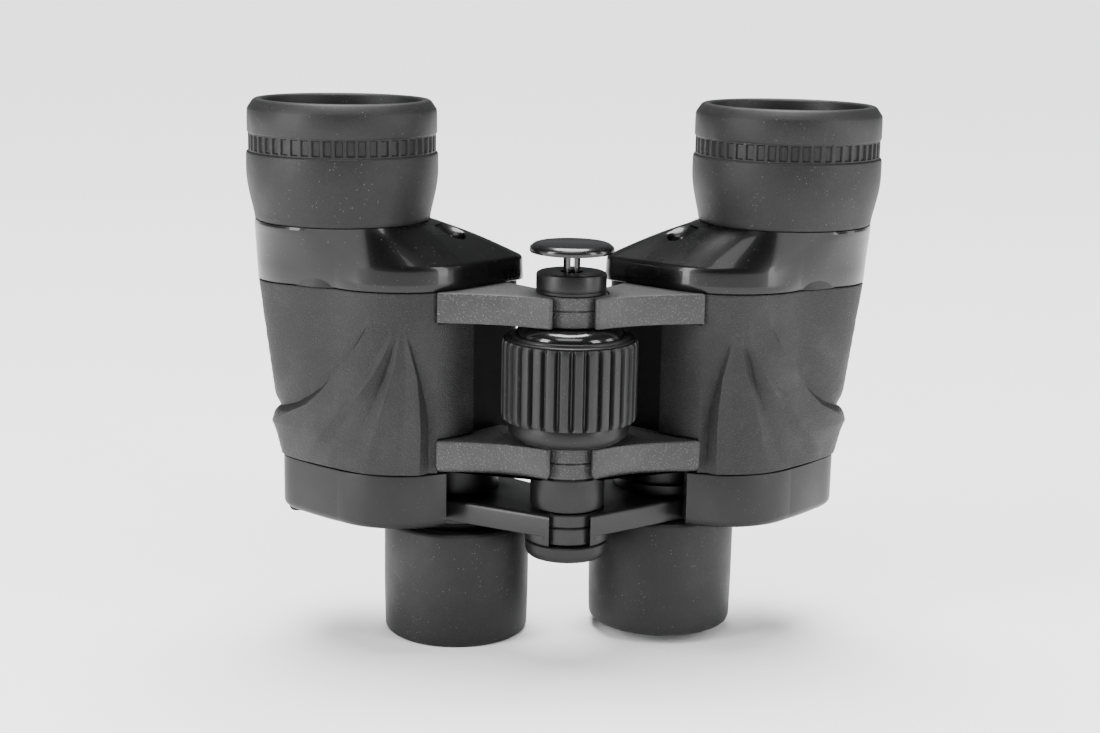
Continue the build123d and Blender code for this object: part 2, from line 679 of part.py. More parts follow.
def body_pieces(side):
    """Pieces of one optical half; the left knuckles lie above the right ones."""
    upper = side == "left"
    bore_r = pin_r if upper else pin_r + running
    return {
        "housing": housing(),
        "armour": armour(),
        "objective_cover": objective_cover(),
        "eyepiece_cover": eyepiece_cover(),
        "upper_prism": prism(knee, eye, shelf_high_z, 1),
        "lower_prism": prism(objective, knee, shelf_low_z, -1),
        "prism_clips": prism_clip(knee, eye, shelf_high_z, 1) + prism_clip(objective, knee, shelf_low_z, -1),
        "objective_tube": objective_tube(),
        "objective_ring": objective_ring(),
        "objective_cell": objective_cell(),
        "objective_crown": objective_crown(),
        "objective_flint": objective_flint(),
        "objective_retainer": objective_retainer(),
        "guide_tube": guide_tube(),
        "upper_hinge_arm": hinge_arm(upper_arm_low_z, upper_seam_knuckle_z, upper_seam_z, upper, bore_r),
        "lower_hinge_arm": hinge_arm(lower_arm_low_z, lower_seam_knuckle_z, lower_arm_high_z, upper, bore_r),
        "strap_lug": strap_lug(),
        "cover_screw": cover_screw(),
    }


def eyepiece_pieces():
    """Pieces of one eyepiece, without the bridge arm."""
    return {
        "eyepiece_barrel": eyepiece_barrel(),
        "eye_lens": eye_lens(),
        "field_lens": field_lens(),
        "lens_retainer": lens_retainer(),
        "eyecup": eyecup(),
    }


def centre_pieces():
    """Pieces on the hinge axis."""
    return {
        "hinge_pin": hinge_pin(),
        "hinge_collar": hinge_collar(),
        "hinge_tube": hinge_tube(),
        "lower_sleeve": lower_sleeve(),
        "focus_wheel_hub": wheel_hub(),
        "focus_wheel_grip": wheel_grip(),
        "focus_wheel_trim": wheel_trim(),
        "focus_rod": focus_rod(),
        "bridge_cap": bridge_cap(),
        "bridge_screw": bridge_screw(),
        "socket_cap": socket_cap(),
    }


def main():
    os.makedirs("parts", exist_ok=True)
    for name, shape in centre_pieces().items():
        export_step(place(shape), f"parts/{name}.step")
    for side, lift in (("left", 0.0), ("right", diopter_out)):
        for name, shape in body_pieces(side).items():
            export_step(place(shape, side), f"parts/{side}_{name}.step")
        upper = side == "left"
        arm = bridge_arm(upper, journal_r if upper else journal_r + running,
                         barrel_r if upper else barrel_r + running)
        export_step(place(arm, side), f"parts/{side}_bridge_arm.step")
        for name, shape in eyepiece_pieces().items():
            export_step(place(shape, side, lift), f"parts/{side}_{name}.step")


main()
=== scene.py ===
import json
from math import acos, atan2, cos, pi, radians, sin

import bmesh
import bpy
import numpy as np
from mathutils import Matrix, Vector

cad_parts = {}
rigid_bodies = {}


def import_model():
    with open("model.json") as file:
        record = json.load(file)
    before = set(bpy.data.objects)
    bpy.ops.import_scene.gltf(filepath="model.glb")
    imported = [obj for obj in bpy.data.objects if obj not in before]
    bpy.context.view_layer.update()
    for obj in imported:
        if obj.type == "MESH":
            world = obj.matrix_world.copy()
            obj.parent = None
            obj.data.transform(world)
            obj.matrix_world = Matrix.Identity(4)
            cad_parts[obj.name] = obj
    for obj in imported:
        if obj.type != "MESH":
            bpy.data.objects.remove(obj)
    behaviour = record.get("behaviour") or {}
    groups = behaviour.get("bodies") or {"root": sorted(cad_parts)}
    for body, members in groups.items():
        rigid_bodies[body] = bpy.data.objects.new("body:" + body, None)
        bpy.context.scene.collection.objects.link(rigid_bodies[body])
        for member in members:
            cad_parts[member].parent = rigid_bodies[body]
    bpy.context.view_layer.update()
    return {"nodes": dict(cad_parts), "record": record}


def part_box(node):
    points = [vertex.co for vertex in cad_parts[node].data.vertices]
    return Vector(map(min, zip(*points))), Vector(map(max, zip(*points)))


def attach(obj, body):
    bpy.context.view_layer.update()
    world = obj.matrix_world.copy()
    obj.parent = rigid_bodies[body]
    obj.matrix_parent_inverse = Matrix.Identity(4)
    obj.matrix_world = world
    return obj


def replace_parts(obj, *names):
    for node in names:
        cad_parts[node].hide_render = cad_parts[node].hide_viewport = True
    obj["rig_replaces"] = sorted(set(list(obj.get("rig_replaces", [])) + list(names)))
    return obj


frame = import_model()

# Binoculars standing on their eyecups.  Shapes are worked out in millimetres, for the right half, with
# the hinge axis at x = y = 0, and the left half is the mirror image.  Heights are those of the frame.
# A profile is a list of (distance from the axis, height) points.

MM = 0.001
BODY_OF = {node: body for body, nodes in frame["record"]["behaviour"]["bodies"].items() for node in nodes}
HINGE_Y = sum(corner[1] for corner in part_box("hinge_pin")) / 2 / MM


def span(node):
    """Lowest and highest corner of a frame node in millimetres, with y measured from the hinge axis."""
    low, high = (np.array(corner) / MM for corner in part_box(node))
    return low - (0, HINGE_Y, 0), high - (0, HINGE_Y, 0)


def heights(node):
    low, high = span(node)
    return low[2], high[2]


def axis_of(node):
    """Plan position of a round node's axis."""
    low, high = span(node)
    return (low[:2] + high[:2]) / 2


def radius_of(node):
    """Largest radius of a round node."""
    low, high = span(node)
    return (high[0] - low[0]) / 2


OBJECTIVE = axis_of("right_objective_ring")
EYE = axis_of("right_eyecup")
LIFT = heights("right_eyecup")[0] - heights("left_eyecup")[0]
LOWER_SEAM, UPPER_SEAM = heights("right_armour")
ARM_END = span("right_upper_hinge_arm")[1][0]
SIDES = ("left", "right")

# ---------------------------------------------------------------- meshes


def grid_faces(rows, columns, wrap_rows=False, wrap_columns=True):
    """Quads over a grid of points numbered row by row, joined round at the ends where wrapped."""
    r = np.arange(rows if wrap_rows else rows - 1)[:, None]
    c = np.arange(columns if wrap_columns else columns - 1)[None, :]
    up, on = (r + 1) % rows, (c + 1) % columns
    quads = np.stack([r * columns + c, r * columns + on, up * columns + on, up * columns + c], -1)
    return quads.reshape(-1, 4)


def capped(rows, columns):
    """Faces of a grid that is round along its columns, with a flat lid on its first and last row."""
    lids = [np.arange(columns)[None, ::-1], (rows - 1) * columns + np.arange(columns)[None]]
    return [grid_faces(rows, columns), *lids]


def outward(mesh, smooth_below):
    """Merge doubles, turn every face outwards and shade smooth below the given angle."""
    work = bmesh.new()
    work.from_mesh(mesh)
    bmesh.ops.remove_doubles(work, verts=work.verts, dist=1e-7)
    bmesh.ops.dissolve_degenerate(work, edges=work.edges, dist=1e-7)
    bmesh.ops.recalc_face_normals(work, faces=work.faces)
    work.to_mesh(mesh)
    work.free()
    mesh.polygons.foreach_set("use_smooth", np.ones(len(mesh.polygons), bool))
    mesh.set_sharp_from_angle(angle=radians(smooth_below))


def new_object(name, points, face_sets, side="right", lift=0.0, smooth_below=32):
    """Mesh object from points in the hinge frame; edges sharper than the angle stay sharp."""
    points = np.asarray(points, float).reshape(-1, 3) * ((-1, 1, 1) if side == "left" else (1, 1, 1))
    points = (points + (0, HINGE_Y, lift)) * MM
    corners = np.concatenate([faces.ravel() for faces in face_sets])
    sizes = np.concatenate([np.full(len(faces), faces.shape[1]) for faces in face_sets])
    mesh = bpy.data.meshes.new(name)
    mesh.vertices.add(len(points))
    mesh.vertices.foreach_set("co", points.ravel())
    mesh.loops.add(len(corners))
    mesh.loops.foreach_set("vertex_index", corners)
    mesh.polygons.add(len(sizes))
    mesh.polygons.foreach_set("loop_start", np.concatenate([[0], np.cumsum(sizes)[:-1]]))
    mesh.update(calc_edges=True)
    outward(mesh, smooth_below)
    made = bpy.data.objects.new(name, mesh)
    bpy.context.scene.collection.objects.link(made)
    return made


def combine(base, others, operation, smooth_below=32):
    """Boolean of the base with each of the other objects, which are used up."""
    for other in others:
        step = base.modifiers.new(operation, "BOOLEAN")
        step.operation = operation
        step.solver = "EXACT"
        step.object = other
    result = bpy.data.meshes.new_from_object(base.evaluated_get(bpy.context.evaluated_depsgraph_get()))
    base.modifiers.clear()
    base.data = result
    outward(result, smooth_below)
    for other in others:
        bpy.data.objects.remove(other)
    return base


def settle(piece, node, finish):
    """The piece stands for a frame node, rides its body and wears a finish."""
    piece.data.materials.clear()
    piece.data.materials.append(finish)
    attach(piece, BODY_OF[node])
    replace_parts(piece, node)


# ---------------------------------------------------------------- outlines


def unit(v):
    return np.asarray(v, float) / np.linalg.norm(v)


def arc(centre, radius, start, stop, count):
    """Points on an arc between two angles in degrees."""
    a = np.radians(np.linspace(start, stop, count))
    return np.asarray(centre) + radius * np.stack([np.cos(a), np.sin(a)], -1)


def rounded(corners, radii, closed=True, step=15):
    """Polyline whose corners are arcs: each arc touches both sides and turns in steps of some degrees."""
    corners = np.asarray(corners, float)
    radii = np.broadcast_to(radii, len(corners))
    made = []
    for i, (corner, radius) in enumerate(zip(corners, radii)):
        end = not closed and i in (0, len(corners) - 1)
        if radius <= 0 or end:
            made.append(corner[None])
            continue
        before, after = unit(corners[i - 1] - corner), unit(corners[(i + 1) % len(corners)] - corner)
        half = acos(np.clip(before @ after, -1, 1)) / 2
        centre = corner + unit(before + after) * radius / sin(half)
        first = corner + before * radius / np.tan(half) - centre
        turn = np.degrees(pi - 2 * half) * np.sign(before[1] * after[0] - before[0] * after[1])
        start = np.degrees(atan2(first[1], first[0]))
        made.append(arc(centre, radius, start, start + turn, max(2, round(abs(turn) / step) + 1)))
    return np.concatenate(made)


def anticlockwise(plan):
    x, y = plan.T
    area = (x * np.roll(y, -1) - y * np.roll(x, -1)).sum()
    return plan if area > 0 else plan[::-1]


def plan_normals(plan):
    """Outward normals of a closed anticlockwise plan, long enough to carry both sides outwards evenly."""
    ahead = np.roll(plan, -1, 0) - plan
    ahead /= np.linalg.norm(ahead, axis=1, keepdims=True)
    side_after = np.stack([ahead[:, 1], -ahead[:, 0]], -1)
    normal = side_after + np.roll(side_after, 1, 0)
    normal /= np.linalg.norm(normal, axis=1, keepdims=True)
    return normal / np.maximum((normal * side_after).sum(1, keepdims=True), 0.5)


def slab(name, plan, low, high, edge=0.4, low_edge=None, side="right", lift=0.0, smooth_below=32):
    """Plan outline carried up between two heights; each edge is a quarter round drawn inwards."""
    plan = anticlockwise(np.asarray(plan, float))
    normals = plan_normals(plan)
    low_edge = edge if low_edge is None else low_edge
    quarter = np.linspace(0, pi / 2, 6)
    rows = [(low_edge * (1 - sin(a)), low + low_edge * (1 - cos(a))) for a in quarter]
    rows += [(edge * (1 - cos(a)), high - edge * (1 - sin(a))) for a in quarter]
    points = [np.column_stack([plan - normals * inset, np.full(len(plan), z)]) for inset, z in rows]
    return new_object(name, np.concatenate(points), capped(len(rows), len(plan)), side, lift, smooth_below)


def turned(name, profile, at=(0, 0), side="right", lift=0.0, columns=128, ring=False, smooth_below=32):
    """Profile of (radius, z) points swept round an upright axis: closed on itself for a ring, otherwise
    closed by a flat lid at its first and last point."""
    profile = np.asarray(profile, float)
    angle = np.linspace(0, 2 * pi, columns, endpoint=False)
    x = at[0] + profile[:, :1] * np.cos(angle)
    y = at[1] + profile[:, :1] * np.sin(angle)
    points = np.stack([x, y, np.broadcast_to(profile[:, 1:], x.shape)], -1)
    faces = [grid_faces(len(profile), columns, wrap_rows=True)] if ring else capped(len(profile), columns)
    return new_object(name, points, faces, side, lift, smooth_below)


# ---------------------------------------------------------------- plan of one body half

LOBE_R = 25.0
LOBE_BEHIND_KNEE = 14.9
EYE_END = 14.3
CHANNEL_HALF = 14.5
BACK_R = 23.6
SHOULDER_ANGLE = -32.0
PLAN_CORNER_R = 5.5
LOWER_SIDE = (17.2, 14.9)      # radius of the outer side and of the shoulder at the lower seam
UPPER_SIDE = (23.6, 20.2)      # and at the upper seam
TOWARDS_EYE = unit([-1, 1])
TOWARDS_FRONT = unit([-1, -1])
OUTWARDS = unit([1, -1])
KNEE = EYE + TOWARDS_EYE * ((OBJECTIVE - EYE) @ TOWARDS_EYE)
LOBE = np.array([(EYE[0] + OBJECTIVE[0]) / 2, KNEE[1] + LOBE_BEHIND_KNEE])


def hermite(start, stop, leave, arrive, count):
    """Cubic between two points with the given directions, run at chord length."""
    t = np.linspace(0, 1, count, endpoint=False)[:, None]
    chord = np.linalg.norm(stop - start)
    return ((2 * t**3 - 3 * t**2 + 1) * start + (t**3 - 2 * t**2 + t) * chord * leave
            + (3 * t**2 - 2 * t**3) * stop + (t**3 - t**2) * chord * arrive)


def body_plan(inset, side_r, shoulder_r, count=120):
    """Plan of a body half, anticlockwise from the lobe's hinge end and back to it: round front lobe,
    two cubics through the shoulder to the outer side, one to the back, then straight lines with round
    corners.  Every stretch has a fixed share of the points, so two plans match point for point."""
    end = TOWARDS_EYE * (EYE_END - inset)
    front_corner = EYE + end + TOWARDS_FRONT * ((LOBE - EYE) @ TOWARDS_FRONT + LOBE_R - inset)
    back_corner = EYE + end - TOWARDS_FRONT * (CHANNEL_HALF - inset)
    lobe = arc(LOBE, LOBE_R - inset, 225, 315, 2 * count)
    shoulder = arc(OBJECTIVE, shoulder_r - inset, SHOULDER_ANGLE, 0, 2)[0]
    side = OBJECTIVE + (side_r - inset, 0)
    back = OBJECTIVE + (0, BACK_R - inset)
    leave, arrive = unit([1, 0.8]), unit([0, 1])
    first, second = np.linalg.norm(shoulder - lobe[-1]), np.linalg.norm(side - shoulder)
    middle = ((3 * (shoulder - lobe[-1]) / first**2 + 3 * (side - shoulder) / second**2
               - leave / first - arrive / second) / (2 / first + 2 / second))
    corner = max(PLAN_CORNER_R - inset, 1)
    straight = rounded([back, back_corner, front_corner, lobe[0]], [0, corner, corner, 0], closed=False,
                       step=6)
    return np.concatenate([lobe[:-1], hermite(lobe[-1], shoulder, leave, middle, count),
                           hermite(shoulder, side, middle, arrive, count),
                           hermite(side, back, arrive, unit(back_corner - back), count), straight])


LOWER_PLAN = body_plan(0, *LOWER_SIDE)
UPPER_PLAN = body_plan(0, *UPPER_SIDE)
MIDDLE_PLAN = (LOWER_PLAN + UPPER_PLAN) / 2
GIRTH = np.concatenate([[0], np.cumsum(np.linalg.norm(np.diff(MIDDLE_PLAN, axis=0), axis=1))])


def on_plan(plan, s):
    """Points of a plan at girth distances s, measured round the middle plan from the lobe's hinge end."""
    s = np.mod(s, GIRTH[-1])
    return np.stack([np.interp(s, GIRTH, plan[:, i]) for i in (0, 1)], -1)


def outward_on_plan(s):
    """Outward direction of the middle plan at girth distances s."""
    ahead = on_plan(MIDDLE_PLAN, s + 0.2) - on_plan(MIDDLE_PLAN, s - 0.2)
    normal = np.stack([ahead[..., 1], -ahead[..., 0]], -1)
    return normal / np.linalg.norm(normal, axis=-1, keepdims=True)


def girth_at(x, near):
    """Girth distance nearest to one given where the middle plan passes an x value."""
    s = np.linspace(near - 12, near + 12, 2401)
    return s[np.abs(on_plan(MIDDLE_PLAN, s)[:, 0] - x).argmin()]


# ---------------------------------------------------------------- rubber armour

ARMOUR_T = 1.8
ARMOUR_EDGE_X = 26.0
SEAM_ROOM = 0.12
ARM_ROOM = 0.25
LIP_R = 0.45
RELIEF = 1.5                   # how strongly the folds below stand out

# Folds of the armour's front.  Each crease is a list of (height, girth distance, relief): it runs down
# through those points, and the relief is how far it stands out from the plain body there.
CREASES = {
    "inner valley": [(95, 17.6, 0), (91.4, 17.6, 0), (84.8, 15.7, -0.3), (77.2, 13.6, -0.7),
                     (70.6, 12.1, -0.9), (64.9, 11.6, -0.9), (56, 11.7, -0.7), (52.3, 11.8, -0.3)],
    "inner crest": [(95, 18.3, 0), (91.4, 18.2, 0.1), (87.4, 17.1, 0.4), (79.9, 15.4, 0.75),
                    (72.2, 14.8, 0.95), (64.9, 14.5, 1.0), (56, 14.6, 0.8), (52.3, 14.8, 0.5)],
    "faint valley": [(95, 19.2, 0), (91.4, 18.9, 0), (82.4, 18.2, 0.1), (72.4, 18.6, 0.2), (60, 19.3, 0.2),
                     (52.3, 19.7, 0.2)],
    "second crest": [(95, 20.2, 0), (91.4, 19.9, 0.1), (82.4, 21.4, 0.55), (77.3, 22.8, 0.8),
                     (71.2, 24.6, 0.9), (64, 26.7, 0.75), (56, 28.8, 0.35), (52.3, 30, 0.2)],
    "second valley": [(95, 21.2, 0), (91.5, 20.7, 0), (84.3, 23.0, -0.4), (79.2, 24.6, -0.6),
                      (74.2, 26.7, -0.6), (67.8, 29.3, -0.5), (60.3, 32.3, -0.3), (52.3, 36.2, 0)],
    "third crest": [(95, 22.4, 0), (92, 21.7, 0.1), (87.9, 23.4, 0.5), (83.8, 25.2, 0.8), (80.1, 27.2, 0.9),
                    (75.9, 30, 0.8), (73.8, 31.8, 0.5), (69.8, 34.4, 0.2), (66.4, 36.3, 0), (61.2, 39.8, 0),
                    (56.9, 44.1, 0.2), (52.3, 49.5, 0.2)],
    "outer slope": [(95, 23.6, 0), (92, 23, 0), (88.4, 24.6, 0.1), (81, 29, 0.1), (76.1, 32.6, 0.3),
                    (73.9, 33.2, 0.5), (70.5, 36.9, 0.8), (65.9, 39.9, 1.0), (60.4, 45.4, 0.9),
                    (53.7, 52, 0.5), (52.3, 53.5, 0.4)],
    "great crest": [(98, 28, 0), (94.1, 28.5, 0.1), (89.9, 30.9, 0.4), (85.1, 34.3, 0.7), (79.4, 39, 0.9),
                    (74.2, 43.6, 1.0), (69.7, 48.9, 1.15), (66, 56.5, 1.3), (62, 64.5, 1.4), (60.5, 74, 1.2),
                    (58.5, 84, 0.9), (52.3, 92, 0.4)],
    "great valley": [(98, 28.6, 0), (92, 30.6, -0.3), (87, 33.9, -0.6), (82, 38, -0.8), (77.5, 42.1, -0.9),
                     (74.4, 45.6, -1.0), (71.9, 49.2, -1.0), (68.9, 54.6, -0.9), (67, 61, -0.8),
                     (66, 68, -0.7), (64.5, 76, -0.6), (60, 90, -0.3), (52.3, 98, 0)],
}
VALLEY_FADE = 16.0             # the body is plain again this far beyond the great valley
FOLD_END = (74.0, 100.0)       # the folds die out between these girth distances
COLUMNS = (26, 1, 7, 7, 8, 9, 8, 11, 8, 16, 9, 22, 26, 42)
ROWS = 130


def armour_knots(z):
    """Girth distance and relief of every line that the armour's columns follow, at heights z."""
    start = girth_at(ARMOUR_EDGE_X, -3)
    notch = girth_at(ARM_END, 9.7) - ARM_ROOM
    lines = [(np.full_like(z, s), np.zeros_like(z)) for s in (start, notch - 0.05, notch)]
    for nodes in CREASES.values():
        heights_down, s, relief = np.array(nodes[::-1]).T
        lines.append((np.interp(z, heights_down, s), np.interp(z, heights_down, relief)))
    lines.append((lines[-1][0] + VALLEY_FADE, np.zeros_like(z)))
    lines += [(np.full_like(z, s), np.zeros_like(z)) for s in (118.0, girth_at(ARMOUR_EDGE_X, 138))]
    return lines


def armour(side, finish):
    """Band round the body: plan between the lower and the upper one by height, pushed out by a relief
    that runs straight from crease to crease, with rounded lips and a flat inner face.  On the hinge side
    the band's height shrinks in one narrow step to the room between the two hinge arms."""
    low, high = LOWER_SEAM + SEAM_ROOM, UPPER_SEAM - SEAM_ROOM
    share = np.linspace(0, 1, ROWS)
    z_main = low + (high - low) * share
    notch_low = heights("right_lower_hinge_arm")[1] + ARM_ROOM
    notch_high = heights("right_upper_hinge_arm")[0] - ARM_ROOM
    z_notch = notch_low + (notch_high - notch_low) * share
    lines = armour_knots(z_main)
    s, relief, z = [], [], []
    for i, count in enumerate(COLUMNS):
        (s0, h0), (s1, h1) = lines[i], lines[i + 1]
        t = np.linspace(0, 1, count, endpoint=i == len(COLUMNS) - 1)[None, :]
        fade = (1 - np.cos(pi * t)) / 2 if i == len(COLUMNS) - 3 else t
        s.append(s0[:, None] + (s1 - s0)[:, None] * t)
        relief.append(h0[:, None] + (h1 - h0)[:, None] * fade)
        z.append(np.repeat((z_notch if i == 0 else z_main)[:, None], t.shape[1], 1))
    s, relief, z = (np.concatenate(part, 1) for part in (s, relief, z))
    z[:, COLUMNS[0]] = z_notch
    fade = np.clip((FOLD_END[1] - s) / (FOLD_END[1] - FOLD_END[0]), 0, 1)
    relief = RELIEF * relief * fade * fade * (3 - 2 * fade)

    def layer(s, z, out):
        """Points at heights z, pushed out by the given amount."""
        t = ((z - LOWER_SEAM) / (UPPER_SEAM - LOWER_SEAM))[..., None]
        plan = on_plan(LOWER_PLAN, s) * (1 - t) + on_plan(UPPER_PLAN, s) * t
        return np.concatenate([plan + outward_on_plan(s) * out[..., None], z[..., None]], -1)

    turn = np.linspace(0, pi / 2, 4, endpoint=False)[:, None]
    lip_in, lip_up = LIP_R * (1 - np.sin(turn)), LIP_R * (1 - np.cos(turn))
    z = z[0] + LIP_R + (z - z[0]) * (1 - 2 * LIP_R / (z[-1] - z[0]))
    inner = np.full_like(s[:1], -ARMOUR_T)
    rows = [layer(s[:1], z[:1] - LIP_R, inner),
            layer(np.repeat(s[:1], 4, 0), z[:1] - LIP_R + lip_up, relief[:1] - lip_in),
            layer(s, z, relief),
            layer(np.repeat(s[-1:], 4, 0), z[-1:] + LIP_R - lip_up[::-1], relief[-1:] - lip_in[::-1]),
            layer(s[-1:], z[-1:] + LIP_R, inner)]
    points = np.concatenate(rows)
    count, columns = points.shape[:2]
    ends = [np.arange(count)[None, ::-1] * columns, np.arange(count)[None] * columns + columns - 1]
    faces = [grid_faces(count, columns, wrap_rows=True, wrap_columns=False), *ends]
    piece = new_object(side + "_armour_skin", points, faces, side, smooth_below=40)
    settle(piece, side + "_armour", finish)


# ---------------------------------------------------------------- hood over the objective end

RING_BASE = heights("right_objective_ring")[0]
RING_TOP = heights("right_objective_ring")[1]
NECK_R = 24.2
HOOD_WALL = 1.8
TUBE_FOOT_R = 18.2
PLATE_EDGE = UPPER_SEAM + 6.6  # height of the top edge over the front lobe
EDGE_CLIMB = 9.2               # and how much higher it is round the neck
PLATE_END_X, NECK_START_X = 55.0, 70.0
SCREW = axis_of("right_cover_screw")
SCREW_HEAD = 1.2


def ease(t):
    """Share between 0 and 1 that starts and ends gently."""
    t = np.clip(t, 0, 1)
    return t * t * (3 - 2 * t)


def hood(side, finish):
    """Ring-shaped skin: for every point of the outline a profile runs up the wall to a rounded top edge,
    inwards up a slightly domed face to the neck under the objective ring, and back down inside.  The top
    edge goes over from an edge parallel to the outline, at the hinge side, to a circle round the neck."""
    outline = body_plan(0, *UPPER_SIDE, count=70)[:-1]
    inner = outline - plan_normals(outline) * HOOD_WALL
    share = ease((outline[:, :1] - PLATE_END_X) / (NECK_START_X - PLATE_END_X))
    away = outline - OBJECTIVE
    away /= np.linalg.norm(away, axis=1, keepdims=True)
    plate_edge = outline - plan_normals(outline) * 0.35
    edge = plate_edge * (1 - share) + (OBJECTIVE + away * (NECK_R + 0.2)) * share
    edge_z = PLATE_EDGE + EDGE_CLIMB * share[:, 0]
    neck = OBJECTIVE + away * NECK_R
    neck_z = np.full(len(outline), RING_BASE - 0.05)
    wall_r = 1.0 + share * 0.9

    def at(plan, z):
        return np.column_stack([plan, np.broadcast_to(z, len(plan))])

    foot = at(outline - plan_normals(outline) * 0.3, UPPER_SEAM)
    base = at(outline, UPPER_SEAM + 0.3)
    corner, top = at(edge, edge_z), at(neck, neck_z)
    down = (base - corner) / np.linalg.norm(base - corner, axis=1, keepdims=True)
    rise = (top - corner) / np.maximum(np.linalg.norm(top - corner, axis=1, keepdims=True), 0.2)
    reach = np.minimum(wall_r, np.linalg.norm(top - corner, axis=1, keepdims=True) / 2.2)
    first, last = corner + down * wall_r, corner + rise * reach
    rows = [foot, base] + [base + (first - base) * t for t in (0.35, 0.7)]
    for t in np.linspace(0, 1, 8):
        rows.append((1 - t) ** 2 * first + 2 * t * (1 - t) * corner + t**2 * last)
    length = np.linalg.norm(top - last, axis=1)
    for t in np.linspace(0, 1, 10)[1:]:
        dome = np.sin(pi * t) * np.clip(length * 0.03, 0, 0.6) * (1 - share[:, 0])
        rows.append(last + (top - last) * t + np.column_stack([np.zeros((len(outline), 2)), dome]))
    bore = OBJECTIVE + away * (radius_of("right_objective_tube") + 0.05)
    foot_hole = OBJECTIVE + away * TUBE_FOOT_R
    rows += [at(bore, neck_z), at(bore, UPPER_SEAM + 15.7), at(foot_hole, UPPER_SEAM + 12),
             at(inner, UPPER_SEAM + 5), at(inner, UPPER_SEAM)]
    faces = [grid_faces(len(rows), len(outline), wrap_rows=True)]
    piece = new_object(side + "_hood", np.concatenate(rows), faces, side, smooth_below=50)
    floor = heights("right_cover_screw")[1] - SCREW_HEAD
    tool = turned("recess", [(2.6, floor), (2.6, floor + 5.2), (3.2, floor + 6.2), (6, floor + 9)], SCREW,
                  side, columns=64)
    combine(piece, [tool], "DIFFERENCE", 50)
    settle(piece, side + "_objective_cover", finish)


# ---------------------------------------------------------------- objective ring

POCKETS = 52
POCKET_DEPTH = 0.55
POCKET_WIDTH = 2.0
POCKET_SLOPE = 0.006           # half the angle over which a pocket's side falls, in radians
BAND_R = 25.8


def objective_ring(side, finish):
    """Profile swept round the objective axis: foot, swelling bulge, band of small pockets between two fine
    grooves, upper band, chamfered lip and mouth.  The pockets are columns of the grid moved inwards."""
    base, top = RING_BASE, RING_TOP
    swell = np.linspace(0, 1, 14)
    bulge = [(24.25 + 2.2 * np.sin(pi / 2 * t) ** 1.25, base + 0.5 + 13.6 * t) for t in swell]
    low, high = top - 14.0, top - 9.2
    outer = [(23.9, base + 0.05)] + bulge + [(26.42, low - 1.2), (26.3, low - 0.5), (25.9, low - 0.1)]
    band = [(BAND_R, z) for z in (low, low + 0.25, low + 0.55, (low + high) / 2, high - 0.55, high - 0.25,
                                  high)]
    lip = [(25.95, high + 0.15), (26.1, high + 0.5), (26.08, top - 5), (26.02, top - 2.9), (25.85, top - 2.4),
           (24.6, top - 0.55), (24.2, top - 0.2), (23.8, top), (22.5, top), (22.0, top - 0.25),
           (21.7, top - 0.8)]
    tube_top = heights("right_objective_tube")[1]
    bore = [(21.7, tube_top), (22.4, tube_top), (22.4, base + 0.05)]
    profile = np.array(outer + band + lip + bore)
    edge, slope = POCKET_WIDTH / BAND_R / 2, POCKET_SLOPE
    step = 2 * pi / POCKETS
    offsets = np.array([-step / 2, -edge - slope, -edge + slope, -edge / 3, edge / 3, edge - slope,
                        edge + slope])
    angle = (np.arange(POCKETS)[:, None] * step + offsets).ravel()
    depth_across = np.tile([0, 0, 1, 1, 1, 1, 0], POCKETS)
    depth_along = np.zeros(len(profile))
    first = len(outer)
    depth_along[first + 2:first + 5] = 1
    r = profile[:, :1] - POCKET_DEPTH * depth_along[:, None] * depth_across
    points = np.stack([OBJECTIVE[0] + r * np.cos(angle), OBJECTIVE[1] + r * np.sin(angle),
                       np.broadcast_to(profile[:, 1:], r.shape)], -1)
    piece = new_object(side + "_objective_grip", points,
                       [grid_faces(len(profile), len(angle), wrap_rows=True)], side, smooth_below=35)
    settle(piece, side + "_objective_ring", finish)


# ---------------------------------------------------------------- hinge arms and bridge

KNUCKLE_R = 10.0
KNUCKLE_ROOM = 0.4             # round a neighbour's knuckle
KNUCKLE_GAP = 0.05             # from the seam to either knuckle
KNUCKLE_RIM = 0.25
BRIDGE_KNUCKLE_RIM = 0.4
UPPER_KNUCKLE_SEAM = UPPER_SEAM - 3.7
LOWER_KNUCKLE_SEAM = LOWER_SEAM + 5.0
PIN_R = 5.5
BARREL_R = 14.4
RUNNING = 0.05                 # radial clearance of a turning fit
REACH = 10.0                   # how far a cutting tool goes past what it cuts
ARM_GAP = 5.7                  # half of the gap between the two arms
ARM_FRONT = np.array([(36.3, -2.4), (31.5, -2.75), (27, -3.4), (19, -5.2), (15.6, -6.4), (12.4, -7.9),
                      (9.2, -9.6), (6.9, -10.9)])


def smooth_line(points, per_piece=6):
    """Cubic through the points, with each direction taken from its two neighbours."""
    points = np.asarray(points, float)
    direction = np.gradient(points, axis=0)
    direction /= np.linalg.norm(direction, axis=1, keepdims=True)
    pieces = [hermite(a, b, da, db, per_piece)
              for a, b, da, db in zip(points[:-1], points[1:], direction[:-1], direction[1:])]
    return np.concatenate([*pieces, points[-1:]])


def arm_outline():
    """Plan of a hinge arm: hollow front, rounded end at the gap, back inside the armour."""
    front = smooth_line(ARM_FRONT)
    end = arc((ARM_GAP + 0.9, -10.1), 0.9, 285, 180, 6)
    rest = [(ARM_GAP, 0), (8.6, 6.6), (17, 17), (29.9, 17), (36.3, 8.5)]
    return np.concatenate([front, end, rest])


